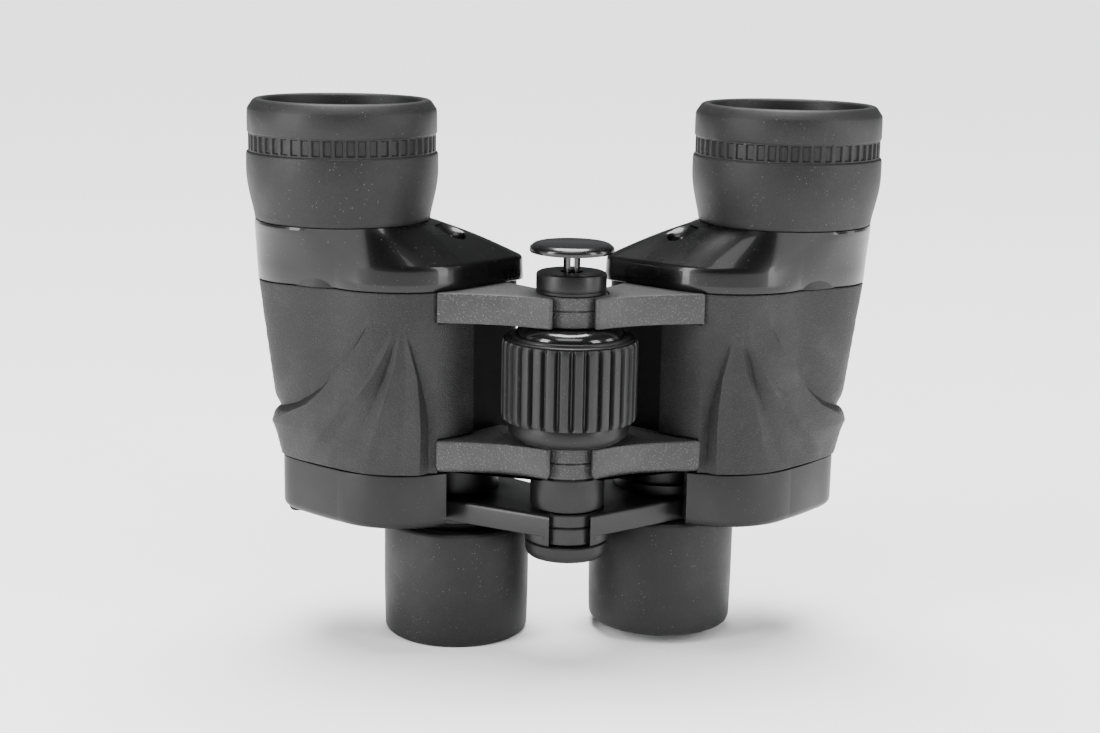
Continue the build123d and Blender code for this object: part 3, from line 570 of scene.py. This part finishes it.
def inside_body(name, low, high, side, room):
    """Solid that fills the armour's inner space between two heights, for cutting an arm's root."""
    def plan(z):
        t = (z - LOWER_SEAM) / (UPPER_SEAM - LOWER_SEAM)
        outline = (LOWER_PLAN * (1 - t) + UPPER_PLAN * t)[:-1]
        return np.column_stack([outline - plan_normals(outline) * room, np.full(len(outline), z)])
    points = np.concatenate([plan(low), plan(high)])
    return new_object(name, points, capped(2, len(points) // 2), side)


def knuckle_spans(upper, low, seam, high):
    """Heights of an arm's own knuckle, and of its neighbour's with room to cut past the arm."""
    below, above = seam - KNUCKLE_GAP, seam + KNUCKLE_GAP
    return ((above, high), (low - REACH, above)) if upper else ((low, below), (below, high + REACH))


def knuckle(side, low, high, rim):
    """Round knuckle with a bevelled rim."""
    profile = [(KNUCKLE_R - rim, low), (KNUCKLE_R, low + rim), (KNUCKLE_R, high - rim),
               (KNUCKLE_R - rim, high)]
    return turned("knuckle", profile, side=side, columns=96)


def knuckle_room(side, low, high):
    """Cutting tool that clears a neighbour's knuckle."""
    return turned("room", [(KNUCKLE_R + KNUCKLE_ROOM, z) for z in (low, high)], side=side, columns=96)


def hinge_arm(side, level, seam, edges, finish):
    """Arm with a round knuckle on one side of the seam and room for its neighbour's on the other; the left
    one owns the upper half.  Both edges are rounded, and the root ends at the armour's inner face."""
    node = f"{side}_{level}_hinge_arm"
    low, high = heights(node)
    upper = side == "left"
    own, other = knuckle_spans(upper, low, seam, high)
    piece = slab(node + "_casting", arm_outline(), low, high, *edges, side=side)
    combine(piece, [knuckle_room(side, *other)], "DIFFERENCE")
    combine(piece, [knuckle(side, *own, KNUCKLE_RIM)], "UNION")
    bore = PIN_R + (0 if upper else RUNNING)
    combine(piece, [turned("bore", [(bore, low - REACH), (bore, high + REACH)], side=side, columns=64),
                    inside_body("root", low - 3, high + 3, side, ARMOUR_T)], "DIFFERENCE")
    settle(piece, node, finish)


def hinge_arms(side, finish):
    """The two arms of a half."""
    hinge_arm(side, "upper", UPPER_KNUCKLE_SEAM, (0.6, 0.35), finish)
    hinge_arm(side, "lower", LOWER_KNUCKLE_SEAM, (0.5, 2.2), finish)


def hull(circles, count=96):
    """Outline of the convex hull of circles given as (centre, radius), from their supporting lines."""
    angle = np.linspace(0, 2 * pi, count, endpoint=False)
    way = np.stack([np.cos(angle), np.sin(angle)], -1)
    touch = np.stack([np.asarray(c) + r * way for c, r in circles])
    return touch[(touch * way).sum(-1).argmax(0), np.arange(count)]


BRIDGE_BOSS_LOW, BRIDGE_LOW, BRIDGE_SEAM = 34.0, 36.6, 39.0
BRIDGE_HUB_R, BRIDGE_RING_R = 11.8, 16.0
BRIDGE_ROD_R = 4.0
BRIDGE_ROOM = 0.6              # between a bridge arm and the eyepiece cover


def bridge_arms(side, finish):
    """Arm from the focus rod to the eyepiece ring; its front edge is well rounded on top."""
    node = side + "_bridge_arm"
    upper = side == "left"
    high = heights(node)[1]
    plan = anticlockwise(hull([((0, 0), BRIDGE_HUB_R), (EYE, BRIDGE_RING_R)], 360))
    piece = slab(node + "_casting", plan, BRIDGE_LOW, high, 1.1, 0.5, side)
    ring = slab("ring", arc(EYE, BRIDGE_RING_R, 0, 357, 120), 34.8, high, 1.1, 0.6, side)
    boss = slab("boss", arc((0, 0), BRIDGE_HUB_R, 0, 357, 120), BRIDGE_BOSS_LOW, BRIDGE_LOW + 1.5, 0.1, 0.6,
                side)
    combine(piece, [boss, ring], "UNION")
    gap = np.array([(-40, -40), (ARM_GAP, -40), (ARM_GAP, 40), (-40, 40)])
    combine(piece, [slab("gap", gap, 30, 50, 0, 0, side)], "DIFFERENCE")
    own, other = knuckle_spans(upper, BRIDGE_BOSS_LOW, BRIDGE_SEAM, high)
    combine(piece, [knuckle_room(side, *other)], "DIFFERENCE")
    combine(piece, [knuckle(side, *own, BRIDGE_KNUCKLE_RIM)], "UNION")
    rod, barrel = (r + (0 if upper else RUNNING) for r in (BRIDGE_ROD_R, BARREL_R))
    combine(piece, [turned("rod", [(rod, 20), (rod, 60)], side=side, columns=64),
                    turned("barrel", [(barrel, 20), (barrel, 60)], EYE, side, columns=128)], "DIFFERENCE", 40)
    settle(piece, node, finish)


# ---------------------------------------------------------------- eyepiece cover and eyecup


COVER_EDGE_X = 33.5
COVER_WALL = 1.5
CUP_ROOM = 0.4                 # round the eyecup, in the cover's relief


def eyepiece_cover(side, finish):
    """Pan under the lower prism: its outline is the body's, cut straight on the hinge side and hollowed
    round the bridge arm; the lower edge is well rounded."""
    low, high = heights(side + "_eyepiece_cover")
    outline = anticlockwise(LOWER_PLAN[:-1])
    piece = slab(side + "_lower_cover", outline, low, high - 0.1, 0.3, 2.6, side)
    corner = OBJECTIVE - OUTWARDS * CHANNEL_HALF
    along, across = unit([1, 1]) * 200, OUTWARDS * 200
    band = np.array([corner - along, corner + along, corner + along - across, corner - along - across])
    hinge = np.array([(-60, -60), (COVER_EDGE_X, -60), (COVER_EDGE_X, 80), (-60, 80)])
    room = hull([((0, 0), BRIDGE_HUB_R + BRIDGE_ROOM), (EYE, BRIDGE_RING_R + BRIDGE_ROOM)], 240)
    cuts = [slab(name, plan, 30, 60, 0, 0, side) for name, plan in (("band", band), ("hinge", hinge))]
    cuts.append(slab("room", anticlockwise(room), 30, 60, 0, 0, side))
    cup = radius_of(side + "_eyecup") + CUP_ROOM
    cuts.append(turned("relief", [(cup, low - 2), (cup, low + 0.8)], EYE, side, columns=128))
    wall = corner + OUTWARDS * COVER_WALL
    hollow = np.array([wall + unit([1, 1]) * 8, wall + unit([1, 1]) * 20, OBJECTIVE + (9, 6),
                       OBJECTIVE + (4, -10), KNEE + (14, 8)])
    cuts.append(slab("hollow", anticlockwise(hollow), low + COVER_WALL, high + 2, 0, 0.4, side))
    combine(piece, cuts, "DIFFERENCE", 40)
    settle(piece, side + "_eyepiece_cover", finish)


def eyecup(side, finish):
    """Moulded cup: profile swept round the eyepiece axis, with a softly rounded rim and a dish inside."""
    lift = LIFT if side == "right" else 0.0
    outer = radius_of("right_eyecup")
    rim = [(17.85, 1.0), (17.95, 0.45), (18.3, 0.1), (18.9, 0.0), (outer - 1.0, 0.12), (outer - 0.55, 0.5),
           (outer - 0.3, 1.2)]
    side_wall = [(outer - 0.2, 3.0), (outer - 0.08, 8), (outer, 14), (outer, 24), (outer, 32.3),
                 (outer - 0.2, 32.9), (outer - 0.6, 33.3), (outer - 1.2, 33.4)]
    inside = [(16.6, 33.4), (16.4, 33.2), (16.4, 30.8), (14.45, 30.8), (14.45, 7.9), (10.3, 7.9), (10.2, 7.2),
              (11.5, 6.6), (14, 4.6), (16.2, 2.6)]
    piece = turned(side + "_cup", rim + side_wall + inside, EYE, side, lift, columns=160, ring=True,
                   smooth_below=35)
    settle(piece, side + "_eyecup", finish)


# ---------------------------------------------------------------- centre column

WHEEL_LOW, WHEEL_TOP = heights("focus_wheel_hub")[0], heights("focus_wheel_trim")[1]
GRIP_LOW, GRIP_HIGH = heights("focus_wheel_grip")
RIBS = 30


def wheel_grip(finish):
    """Ribbed sleeve: round the axis the radius drops into a rounded groove thirty times; the grooves run
    out in a curve near both ends, which leaves the ribs with round shoulders."""
    outer = radius_of("focus_wheel_grip")
    height = GRIP_HIGH - GRIP_LOW
    phase = np.linspace(0, 2 * pi, RIBS * 18, endpoint=False)
    turn = np.abs((phase * RIBS / (2 * pi)) % 1 - 0.5) * 2          # 0 in mid rib, 1 in mid groove
    pitch = 2 * pi * outer / RIBS
    off = (1 - turn) * pitch / 2                                    # distance from the middle of the groove
    crown = 0.25 * np.clip(turn, 0, 1) ** 2
    groove = ease(np.clip((0.95 - off) / 0.75, 0, 1))
    t = np.concatenate([[0, 0.02, 0.045, 0.075], np.linspace(0.11, 0.89, 12), [0.925, 0.955, 0.98, 1]])
    run = np.sqrt(np.clip(1 - (np.clip(np.abs(t - 0.5) - 0.42, 0, 0.08) / 0.08) ** 2, 0, 1))
    fall = 0.55 * np.clip(np.abs(t - 0.5) - 0.44, 0, 0.06) / 0.06
    depth = 1.35 * run[:, None] * groove + crown + (fall**1.6)[:, None]
    r = np.concatenate([np.full((1, len(phase)), 15.8), outer - depth, np.full((1, len(phase)), 15.8)])
    z = np.concatenate([[GRIP_LOW], GRIP_LOW + height * t, [GRIP_HIGH]])
    points = np.stack([r * np.cos(phase + 0.05), r * np.sin(phase + 0.05),
                       np.repeat(z[:, None], len(phase), 1)], -1)
    piece = new_object("wheel_rubber", points, [grid_faces(len(z), len(phase), wrap_rows=True)],
                       smooth_below=35)
    settle(piece, "focus_wheel_grip", finish)


def centre(finishes):
    """Turned pieces on the hinge axis, each from its profile: wheel core, bezel, collar, sleeve, cap under
    the bridge, and the socket cap with its split stem."""
    def make(name, profile, node, slot_name):
        settle(turned(name, profile, ring=True, smooth_below=30), node, finishes[slot_name])

    low = WHEEL_LOW
    make("wheel_core", [
        (4.5, low), (14.0, low), (15.2, low + 0.7), (16.2, low + 1.7), (16.6, low + 2.4), (16.7, low + 3.0),
        (16.7, GRIP_LOW - 0.5), (16.5, GRIP_LOW - 0.1), (15.8, GRIP_LOW), (15.8, GRIP_HIGH),
        (17.3, GRIP_HIGH), (17.75, GRIP_HIGH + 0.15), (17.8, GRIP_HIGH + 0.4), (17.5, GRIP_HIGH + 0.65),
        (16.4, GRIP_HIGH + 0.7), (16.3, GRIP_HIGH + 0.9), (16.3, WHEEL_TOP - 2.9), (16.1, WHEEL_TOP - 2.7),
        (10.5, WHEEL_TOP - 2.7), (10.5, WHEEL_TOP - 0.3), (4.5, WHEEL_TOP - 0.3)], "focus_wheel_hub",
        "satin_black")
    make("wheel_bezel", [
        (10.6, WHEEL_TOP - 2.7), (14.9, WHEEL_TOP - 2.7), (15.0, WHEEL_TOP - 2.5), (14.8, WHEEL_TOP - 2.0),
        (14.4, WHEEL_TOP - 1.4), (12.9, WHEEL_TOP - 0.15), (12.5, WHEEL_TOP), (10.8, WHEEL_TOP),
        (10.6, WHEEL_TOP - 0.2)], "focus_wheel_trim", "gloss_trim")
    base, top = heights("hinge_collar")
    make("hinge_washer", [
        (PIN_R, base), (9.3, base), (9.6, base + 0.3), (9.6, base + 1.0), (9.35, base + 1.15),
        (9.35, base + 1.35), (9.6, base + 1.5), (9.6, top - 0.7), (9.4, top - 0.25), (8.9, top),
        (PIN_R, top)], "hinge_collar", "satin_black")
    base, top = heights("lower_sleeve")
    make("hinge_sleeve", [
        (PIN_R, base), (9.7, base), (10.15, base + 0.2), (10.3, base + 0.6), (10.3, top - 0.4), (10.0, top),
        (PIN_R, top)], "lower_sleeve", "satin_black")
    base, top = heights("bridge_cap")
    make("bridge_button", [
        (1.5, base + 1.8), (3.3, base + 1.8), (3.3, base), (9.9, base), (10.6, base + 0.25),
        (11.1, base + 0.75), (11.4, base + 1.5), (11.5, base + 2.3), (11.5, top - 0.3), (11.2, top),
        (1.5, top)], "bridge_cap", "satin_black")
    base, top = heights("socket_cap")
    disc_low = top - 2.5
    stem = [(2.3, disc_low - 0.02), (2.3, base + 2.2), (3.02, base + 1.6), (3.02, base + 0.6), (2.3, base)]
    cap = turned("tripod_cap", stem[::-1] + [(2.3, disc_low), (11.0, disc_low), (11.35, disc_low + 0.12),
                 (11.5, disc_low + 0.45), (11.5, top - 1.25), (11.35, top - 0.95), (10.4, top - 0.2),
                 (9.8, top)], columns=128)
    slot = np.array([(-0.5, -4), (0.5, -4), (0.5, 4), (-0.5, 4)])
    combine(cap, [slab("slot", slot, base - 1, disc_low - 0.2, 0, 0)], "DIFFERENCE", 30)
    settle(cap, "socket_cap", finishes["gloss_cap"])


# ---------------------------------------------------------------- lenses


def lens(name, node, side, at, radius, edge_low, edge_high, low_bulge, high_bulge, finish, lift=0.0):
    """Round lens: each face is part of a sphere with the given bulge."""
    share = np.linspace(0, 1, 13)

    def face(z, bulge):
        sphere = (radius**2 + bulge**2) / (2 * abs(bulge))
        drop = sphere - np.sqrt(sphere**2 - (radius * share) ** 2)
        return z + np.sign(bulge) * (abs(bulge) - drop)

    low, high = edge_low + (edge_low - face(edge_low, low_bulge)), face(edge_high, high_bulge)
    r = np.maximum(radius * share, 0.01)
    profile = [*zip(r, low), *zip(r[::-1], high[::-1])]
    piece = turned(name, profile, at, side, lift, columns=96, smooth_below=30)
    settle(piece, node, finish)


def lenses(side, finish):
    """The outer lens at either end; the inner ones are the frame's."""
    high = heights("left_objective_crown")[1]
    lens(side + "_front_lens", side + "_objective_crown", side, OBJECTIVE, 20.25, high - 4.2, high - 2.02,
         -2.15, 2.0, finish)
    low, high = heights("left_eye_lens")
    lift = LIFT if side == "right" else 0.0
    lens(side + "_ocular_lens", side + "_eye_lens", side, EYE, radius_of("left_eye_lens") - 0.02, low + 0.9,
         high - 1.0, 0.9, 1.0, finish, lift)


# ---------------------------------------------------------------- shared node groups


def node_group(name, inputs, outputs, build):
    """Shader node group; build gets the node tree and the two ends, and wires them up."""
    tree = bpy.data.node_groups.new(name, "ShaderNodeTree")
    for label, value in inputs.items():
        socket = tree.interface.new_socket(label, in_out="INPUT", socket_type="NodeSocketFloat")
        socket.default_value = value
    for label in outputs:
        tree.interface.new_socket(label, in_out="OUTPUT", socket_type="NodeSocketFloat")
    build(tree, tree.nodes.new("NodeGroupInput"), tree.nodes.new("NodeGroupOutput"))
    return tree


def add(tree, kind, **settings):
    node = tree.nodes.new(kind)
    for label, value in settings.items():
        setattr(node, label, value)
    return node


def feed(tree, socket, value):
    """Link a socket to another, or give it a plain value."""
    if isinstance(value, bpy.types.NodeSocket):
        tree.links.new(value, socket)
    else:
        socket.default_value = value


def calc(tree, operation, a, b):
    """Math node whose operands are sockets or numbers."""
    node = add(tree, "ShaderNodeMath", operation=operation)
    for socket, value in zip(node.inputs, (a, b)):
        feed(tree, socket, value)
    return node.outputs[0]


def remap(tree, value, low, high, to_low=0.0, to_high=1.0):
    node = add(tree, "ShaderNodeMapRange", interpolation_type="SMOOTHSTEP")
    tree.links.new(value, node.inputs["Value"])
    for label, number in (("From Min", low), ("From Max", high), ("To Min", to_low), ("To Max", to_high)):
        node.inputs[label].default_value = number
    return node.outputs["Result"]


def noise(tree, scale, detail=2.0, rough=0.5):
    """Noise on Object coordinates; the scale is a number or a socket, in features per metre."""
    where = add(tree, "ShaderNodeTexCoord")
    node = add(tree, "ShaderNodeTexNoise")
    tree.links.new(where.outputs["Object"], node.inputs["Vector"])
    node.inputs["Detail"].default_value = detail
    node.inputs["Roughness"].default_value = rough
    feed(tree, node.inputs["Scale"], scale)
    return node.outputs["Fac"]


def cells(tree, scale):
    """Distance to the nearest middle of a Voronoi pattern's cells, on Object coordinates."""
    where = add(tree, "ShaderNodeTexCoord")
    node = add(tree, "ShaderNodeTexVoronoi")
    tree.links.new(where.outputs["Object"], node.inputs["Vector"])
    feed(tree, node.inputs["Scale"], scale)
    return node.outputs["Distance"]


def build_grain(tree, ins, outs):
    """Leather-like grain: rounded cells with a finer noise on them; Specks marks the cell tops."""
    pebble = remap(tree, cells(tree, ins.outputs["Scale"]), 0.0, 0.75, 1.0, 0.0)
    fine = noise(tree, calc(tree, "MULTIPLY", ins.outputs["Scale"], 2.3), 3.0)
    height = calc(tree, "ADD", pebble, calc(tree, "MULTIPLY", fine, ins.outputs["Fine share"]))
    tree.links.new(height, outs.inputs["Height"])
    tree.links.new(remap(tree, height, 0.95, 1.35), outs.inputs["Specks"])


def build_handling(tree, ins, outs):
    """Patches where hands have polished the surface, and faint smears."""
    patches = remap(tree, noise(tree, ins.outputs["Scale"], 3.0), 0.38, 0.68)
    smears = remap(tree, noise(tree, calc(tree, "MULTIPLY", ins.outputs["Scale"], 6.0), 4.0, 0.6), 0.45, 0.75)
    both = calc(tree, "ADD", calc(tree, "MULTIPLY", patches, 0.7), calc(tree, "MULTIPLY", smears, 0.3))
    tree.links.new(both, outs.inputs["Mask"])


def build_dust(tree, ins, outs):
    """Sparse specks: the very middles of cells, kept only where a second noise allows them."""
    near = cells(tree, ins.outputs["Scale"])
    dots = remap(tree, near, 0.1, 0.17, 1.0, 0.0)
    allowed = remap(tree, noise(tree, calc(tree, "MULTIPLY", ins.outputs["Scale"], 0.31)), 0.52, 0.6)
    tree.links.new(calc(tree, "MULTIPLY", dots, allowed), outs.inputs["Mask"])


GRAIN = node_group("grain", {"Scale": 2400.0, "Fine share": 0.5}, ["Height", "Specks"], build_grain)
HANDLING = node_group("handling", {"Scale": 45.0}, ["Mask"], build_handling)
DUST = node_group("dust specks", {"Scale": 700.0}, ["Mask"], build_dust)

# ---------------------------------------------------------------- finishes


def use(tree, group, **values):
    node = add(tree, "ShaderNodeGroup", node_tree=group)
    for label, value in values.items():
        node.inputs[label.replace("_", " ")].default_value = value
    return node


def mixed(tree, share, a, b):
    """Colour between two colours or sockets by a share."""
    node = add(tree, "ShaderNodeMix", data_type="RGBA")
    tree.links.new(share, node.inputs["Factor"])
    for socket, value in ((node.inputs[6], a), (node.inputs[7], b)):
        feed(tree, socket, (*value, 1) if isinstance(value, tuple) else value)
    return node.outputs[2]


def finish(name, dark, light, rough, grain=None, bump=0.0, dust=0.0, coat=0.0, coat_rough=0.1, metallic=0.0,
           specular=0.5, sheen=0.0, handling=45.0):
    """Opaque finish: colour between dark and light by handling and grain, roughness between two values,
    grain of a given size as a bump in millimetres, and a share of dust specks."""
    material = bpy.data.materials.new(name)
    material.use_nodes = True
    tree = material.node_tree
    shader = tree.nodes["Principled BSDF"]
    worn = use(tree, HANDLING, Scale=handling).outputs["Mask"]
    colour = mixed(tree, worn, dark, light)
    if grain:
        scale, fine, specks = grain
        pattern = use(tree, GRAIN, Scale=scale, Fine_share=fine)
        share = calc(tree, "MULTIPLY", pattern.outputs["Specks"], specks)
        colour = mixed(tree, share, colour, tuple(min(1, 4.5 * c + 0.02) for c in light))
        relief = add(tree, "ShaderNodeBump")
        relief.inputs["Strength"].default_value = 1.0
        relief.inputs["Distance"].default_value = bump * MM
        tree.links.new(pattern.outputs["Height"], relief.inputs["Height"])
        tree.links.new(relief.outputs["Normal"], shader.inputs["Normal"])
    if dust:
        share = calc(tree, "MULTIPLY", use(tree, DUST, Scale=1000.0).outputs["Mask"], dust)
        colour = mixed(tree, share, colour, (0.4, 0.38, 0.36))
    tree.links.new(colour, shader.inputs["Base Color"])
    tree.links.new(remap(tree, worn, 0, 1, rough[1], rough[0]), shader.inputs["Roughness"])
    shader.inputs["Metallic"].default_value = metallic
    shader.inputs["Coat Weight"].default_value = coat
    shader.inputs["Coat Roughness"].default_value = coat_rough
    shader.inputs["Specular IOR Level"].default_value = specular
    shader.inputs["Sheen Weight"].default_value = sheen
    return material


def glass(name, tint, reflect):
    """Glass with a thin coating whose colour shows in the reflection."""
    material = bpy.data.materials.new(name)
    material.use_nodes = True
    tree = material.node_tree
    shader = tree.nodes["Principled BSDF"]
    clean = remap(tree, use(tree, HANDLING, Scale=60.0).outputs["Mask"], 0, 1, 0.0, 0.03)
    tree.links.new(clean, shader.inputs["Roughness"])
    shader.inputs["Base Color"].default_value = (*tint, 1)
    shader.inputs["Metallic"].default_value = 0.0
    shader.inputs["Transmission Weight"].default_value = 1.0
    shader.inputs["IOR"].default_value = 1.52
    shader.inputs["Coat Weight"].default_value = reflect
    shader.inputs["Coat Roughness"].default_value = 0.02
    shader.inputs["Coat Tint"].default_value = (0.55, 0.6, 1.0, 1)
    return material


def grey(value, warm=0.0):
    return (value * (1 + warm), value, value * (1 - warm))


FINISHES = {
    "body_rubber": finish("body_rubber", grey(0.008), grey(0.013), (0.48, 0.60), (2100.0, 0.6, 0.40), 0.09,
                          dust=0.08, specular=0.34),
    "ring_rubber": finish("ring_rubber", grey(0.006), grey(0.009), (0.46, 0.56), (3300.0, 0.8, 0.2), 0.02,
                          dust=0.2, specular=0.3),
    "eyecup_rubber": finish("eyecup_rubber", grey(0.007), grey(0.010), (0.46, 0.56), (3300.0, 0.8, 0.2),
                            0.018, dust=0.18, specular=0.3),
    "grip_rubber": finish("grip_rubber", grey(0.006), grey(0.009), (0.38, 0.5), (3600.0, 0.7, 0.05), 0.012,
                          dust=0.15, specular=0.36),
    "gloss_hood": finish("gloss_hood", grey(0.0015), grey(0.0025), (0.24, 0.32), (1800.0, 0.3, 0.0), 0.003,
                         dust=0.15, coat=0.3, coat_rough=0.08, specular=0.22),
    "gloss_trim": finish("gloss_trim", grey(0.003), grey(0.005), (0.10, 0.2), dust=0.06, coat=0.5,
                         coat_rough=0.06, specular=0.4),
    "gloss_cap": finish("gloss_cap", grey(0.003), grey(0.005), (0.16, 0.28), dust=0.1, coat=0.4,
                        coat_rough=0.08, specular=0.3),
    "satin_black": finish("satin_black", grey(0.004), grey(0.006), (0.32, 0.42), (2600.0, 0.5, 0.04), 0.008,
                          dust=0.08, specular=0.3),
    "satin_arm": finish("satin_arm", grey(0.005), grey(0.008), (0.30, 0.40), (2200.0, 0.6, 0.06), 0.012,
                        dust=0.08, specular=0.36),
    "crinkle_paint": finish("crinkle_paint", grey(0.024), grey(0.036), (0.42, 0.54), (1500.0, 0.7, 0.45),
                            0.09, dust=0.05, specular=0.42),
    "bare_housing": finish("bare_housing", grey(0.004), grey(0.006), (0.42, 0.55), (1900.0, 0.5, 0.05), 0.02,
                           specular=0.25),
    "black_anodised": finish("black_anodised", grey(0.010), grey(0.016), (0.34, 0.44), metallic=0.6),
    "spring_steel": finish("spring_steel", grey(0.42), grey(0.5), (0.26, 0.36), metallic=1.0),
    "black_screw": finish("black_screw", grey(0.02), grey(0.04), (0.3, 0.4), metallic=0.8),
    "coated_glass": glass("coated_glass", (0.96, 0.985, 1.0), 0.5),
    "prism_glass": glass("prism_glass", (0.97, 0.99, 0.98), 0.0),
}

# ---------------------------------------------------------------- the binoculars

for side in SIDES:
    armour(side, FINISHES["body_rubber"])
    hood(side, FINISHES["gloss_hood"])
    objective_ring(side, FINISHES["ring_rubber"])
    hinge_arms(side, FINISHES["crinkle_paint"])
    bridge_arms(side, FINISHES["satin_arm"])
    eyepiece_cover(side, FINISHES["satin_black"])
    eyecup(side, FINISHES["eyecup_rubber"])
    lenses(side, FINISHES["coated_glass"])
wheel_grip(FINISHES["grip_rubber"])
centre(FINISHES)

replaced = {name for piece in bpy.data.objects for name in piece.get("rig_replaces", [])}
for part in frame["record"]["subparts"]:
    if part["node"] not in replaced:
        materials = frame["nodes"][part["node"]].data.materials
        materials.clear()
        materials.append(FINISHES[part["material_slot"]])

# ---------------------------------------------------------------- stage, light and camera


def floor():
    """Wide flat floor of white paper."""
    side = np.linspace(-1, 1, 9)
    points = np.stack([np.tile(30 * side, (9, 1)), np.repeat(20 + 26 * side[:, None], 9, 1),
                       np.zeros((9, 9))], -1)
    mesh = bpy.data.meshes.new("backdrop")
    mesh.from_pydata(points.reshape(-1, 3).tolist(), [], grid_faces(9, 9, wrap_columns=False).tolist())
    mesh.polygons.foreach_set("use_smooth", np.ones(len(mesh.polygons), bool))
    made = bpy.data.objects.new("backdrop", mesh)
    bpy.context.scene.collection.objects.link(made)
    material = bpy.data.materials.new("paper")
    material.use_nodes = True
    tree = material.node_tree
    tone = mixed(tree, noise(tree, 14.0), (0.95, 0.95, 0.95), (0.97, 0.97, 0.97))
    tree.links.new(tone, tree.nodes["Principled BSDF"].inputs["Base Color"])
    tree.nodes["Principled BSDF"].inputs["Roughness"].default_value = 0.8
    tree.nodes["Principled BSDF"].inputs["Specular IOR Level"].default_value = 0.2
    mesh.materials.append(material)
    return made


AIM = Vector((0, 0, 0.075))


def softbox(name, azimuth, elevation, distance, width, height, watts):
    """Rectangular light aimed at the binoculars; azimuth 0 is the front (-y), positive to the right."""
    light = bpy.data.lights.new(name, "AREA")
    light.shape = "RECTANGLE"
    light.size, light.size_y, light.energy = width, height, watts
    made = bpy.data.objects.new(name, light)
    a, e = radians(azimuth), radians(elevation)
    place = AIM + distance * Vector((sin(a) * cos(e), -cos(a) * cos(e), sin(e)))
    made.location = place
    made.rotation_euler = (AIM - place).to_track_quat("-Z", "Y").to_euler()
    bpy.context.scene.collection.objects.link(made)


CAMERA_PLACE = Vector((-43.4, -495.95, 187.0)) * MM
CAMERA_AHEAD = Vector((0.0770, 0.9742, -0.2120)).normalized()
CAMERA_ROLL = 0.018374


def camera():
    right = CAMERA_AHEAD.cross(Vector((0, 0, 1))).normalized()
    up = right.cross(CAMERA_AHEAD)
    across = right * cos(CAMERA_ROLL) + up * sin(CAMERA_ROLL)
    upright = up * cos(CAMERA_ROLL) - right * sin(CAMERA_ROLL)
    view = Matrix((across, upright, -CAMERA_AHEAD)).transposed().to_4x4()
    view.translation = CAMERA_PLACE
    lens_data = bpy.data.cameras.new("camera")
    lens_data.lens, lens_data.sensor_width = 59.1, 36.0
    lens_data.clip_start, lens_data.clip_end = 0.01, 50
    made = bpy.data.objects.new("camera", lens_data)
    made.matrix_world = view
    bpy.context.scene.collection.objects.link(made)
    bpy.context.scene.camera = made


floor()
camera()
# name, azimuth, elevation, distance, width, height, watts
for box in (
    ("left box", -64, 20, 1.2, 0.32, 1.0, 18),
    ("right box", 54, 20, 1.2, 0.32, 1.0, 10),
    ("side box", 88, 10, 1.2, 0.3, 0.9, 4),
    ("top box", -8, 62, 1.3, 0.9, 0.5, 6),
):
    softbox(*box)
sky = bpy.data.lights.new("overhead", "SUN")
sky.energy, sky.angle = 8.0, radians(40)
overhead = bpy.data.objects.new("overhead", sky)
overhead.rotation_euler = (radians(-14), 0, 0)
bpy.context.scene.collection.objects.link(overhead)
world = bpy.data.worlds.new("room")
world.use_nodes = True
world.node_tree.nodes["Background"].inputs["Color"].default_value = (0.95, 0.97, 1.0, 1)
world.node_tree.nodes["Background"].inputs["Strength"].default_value = 0.16
bpy.context.scene.world = world
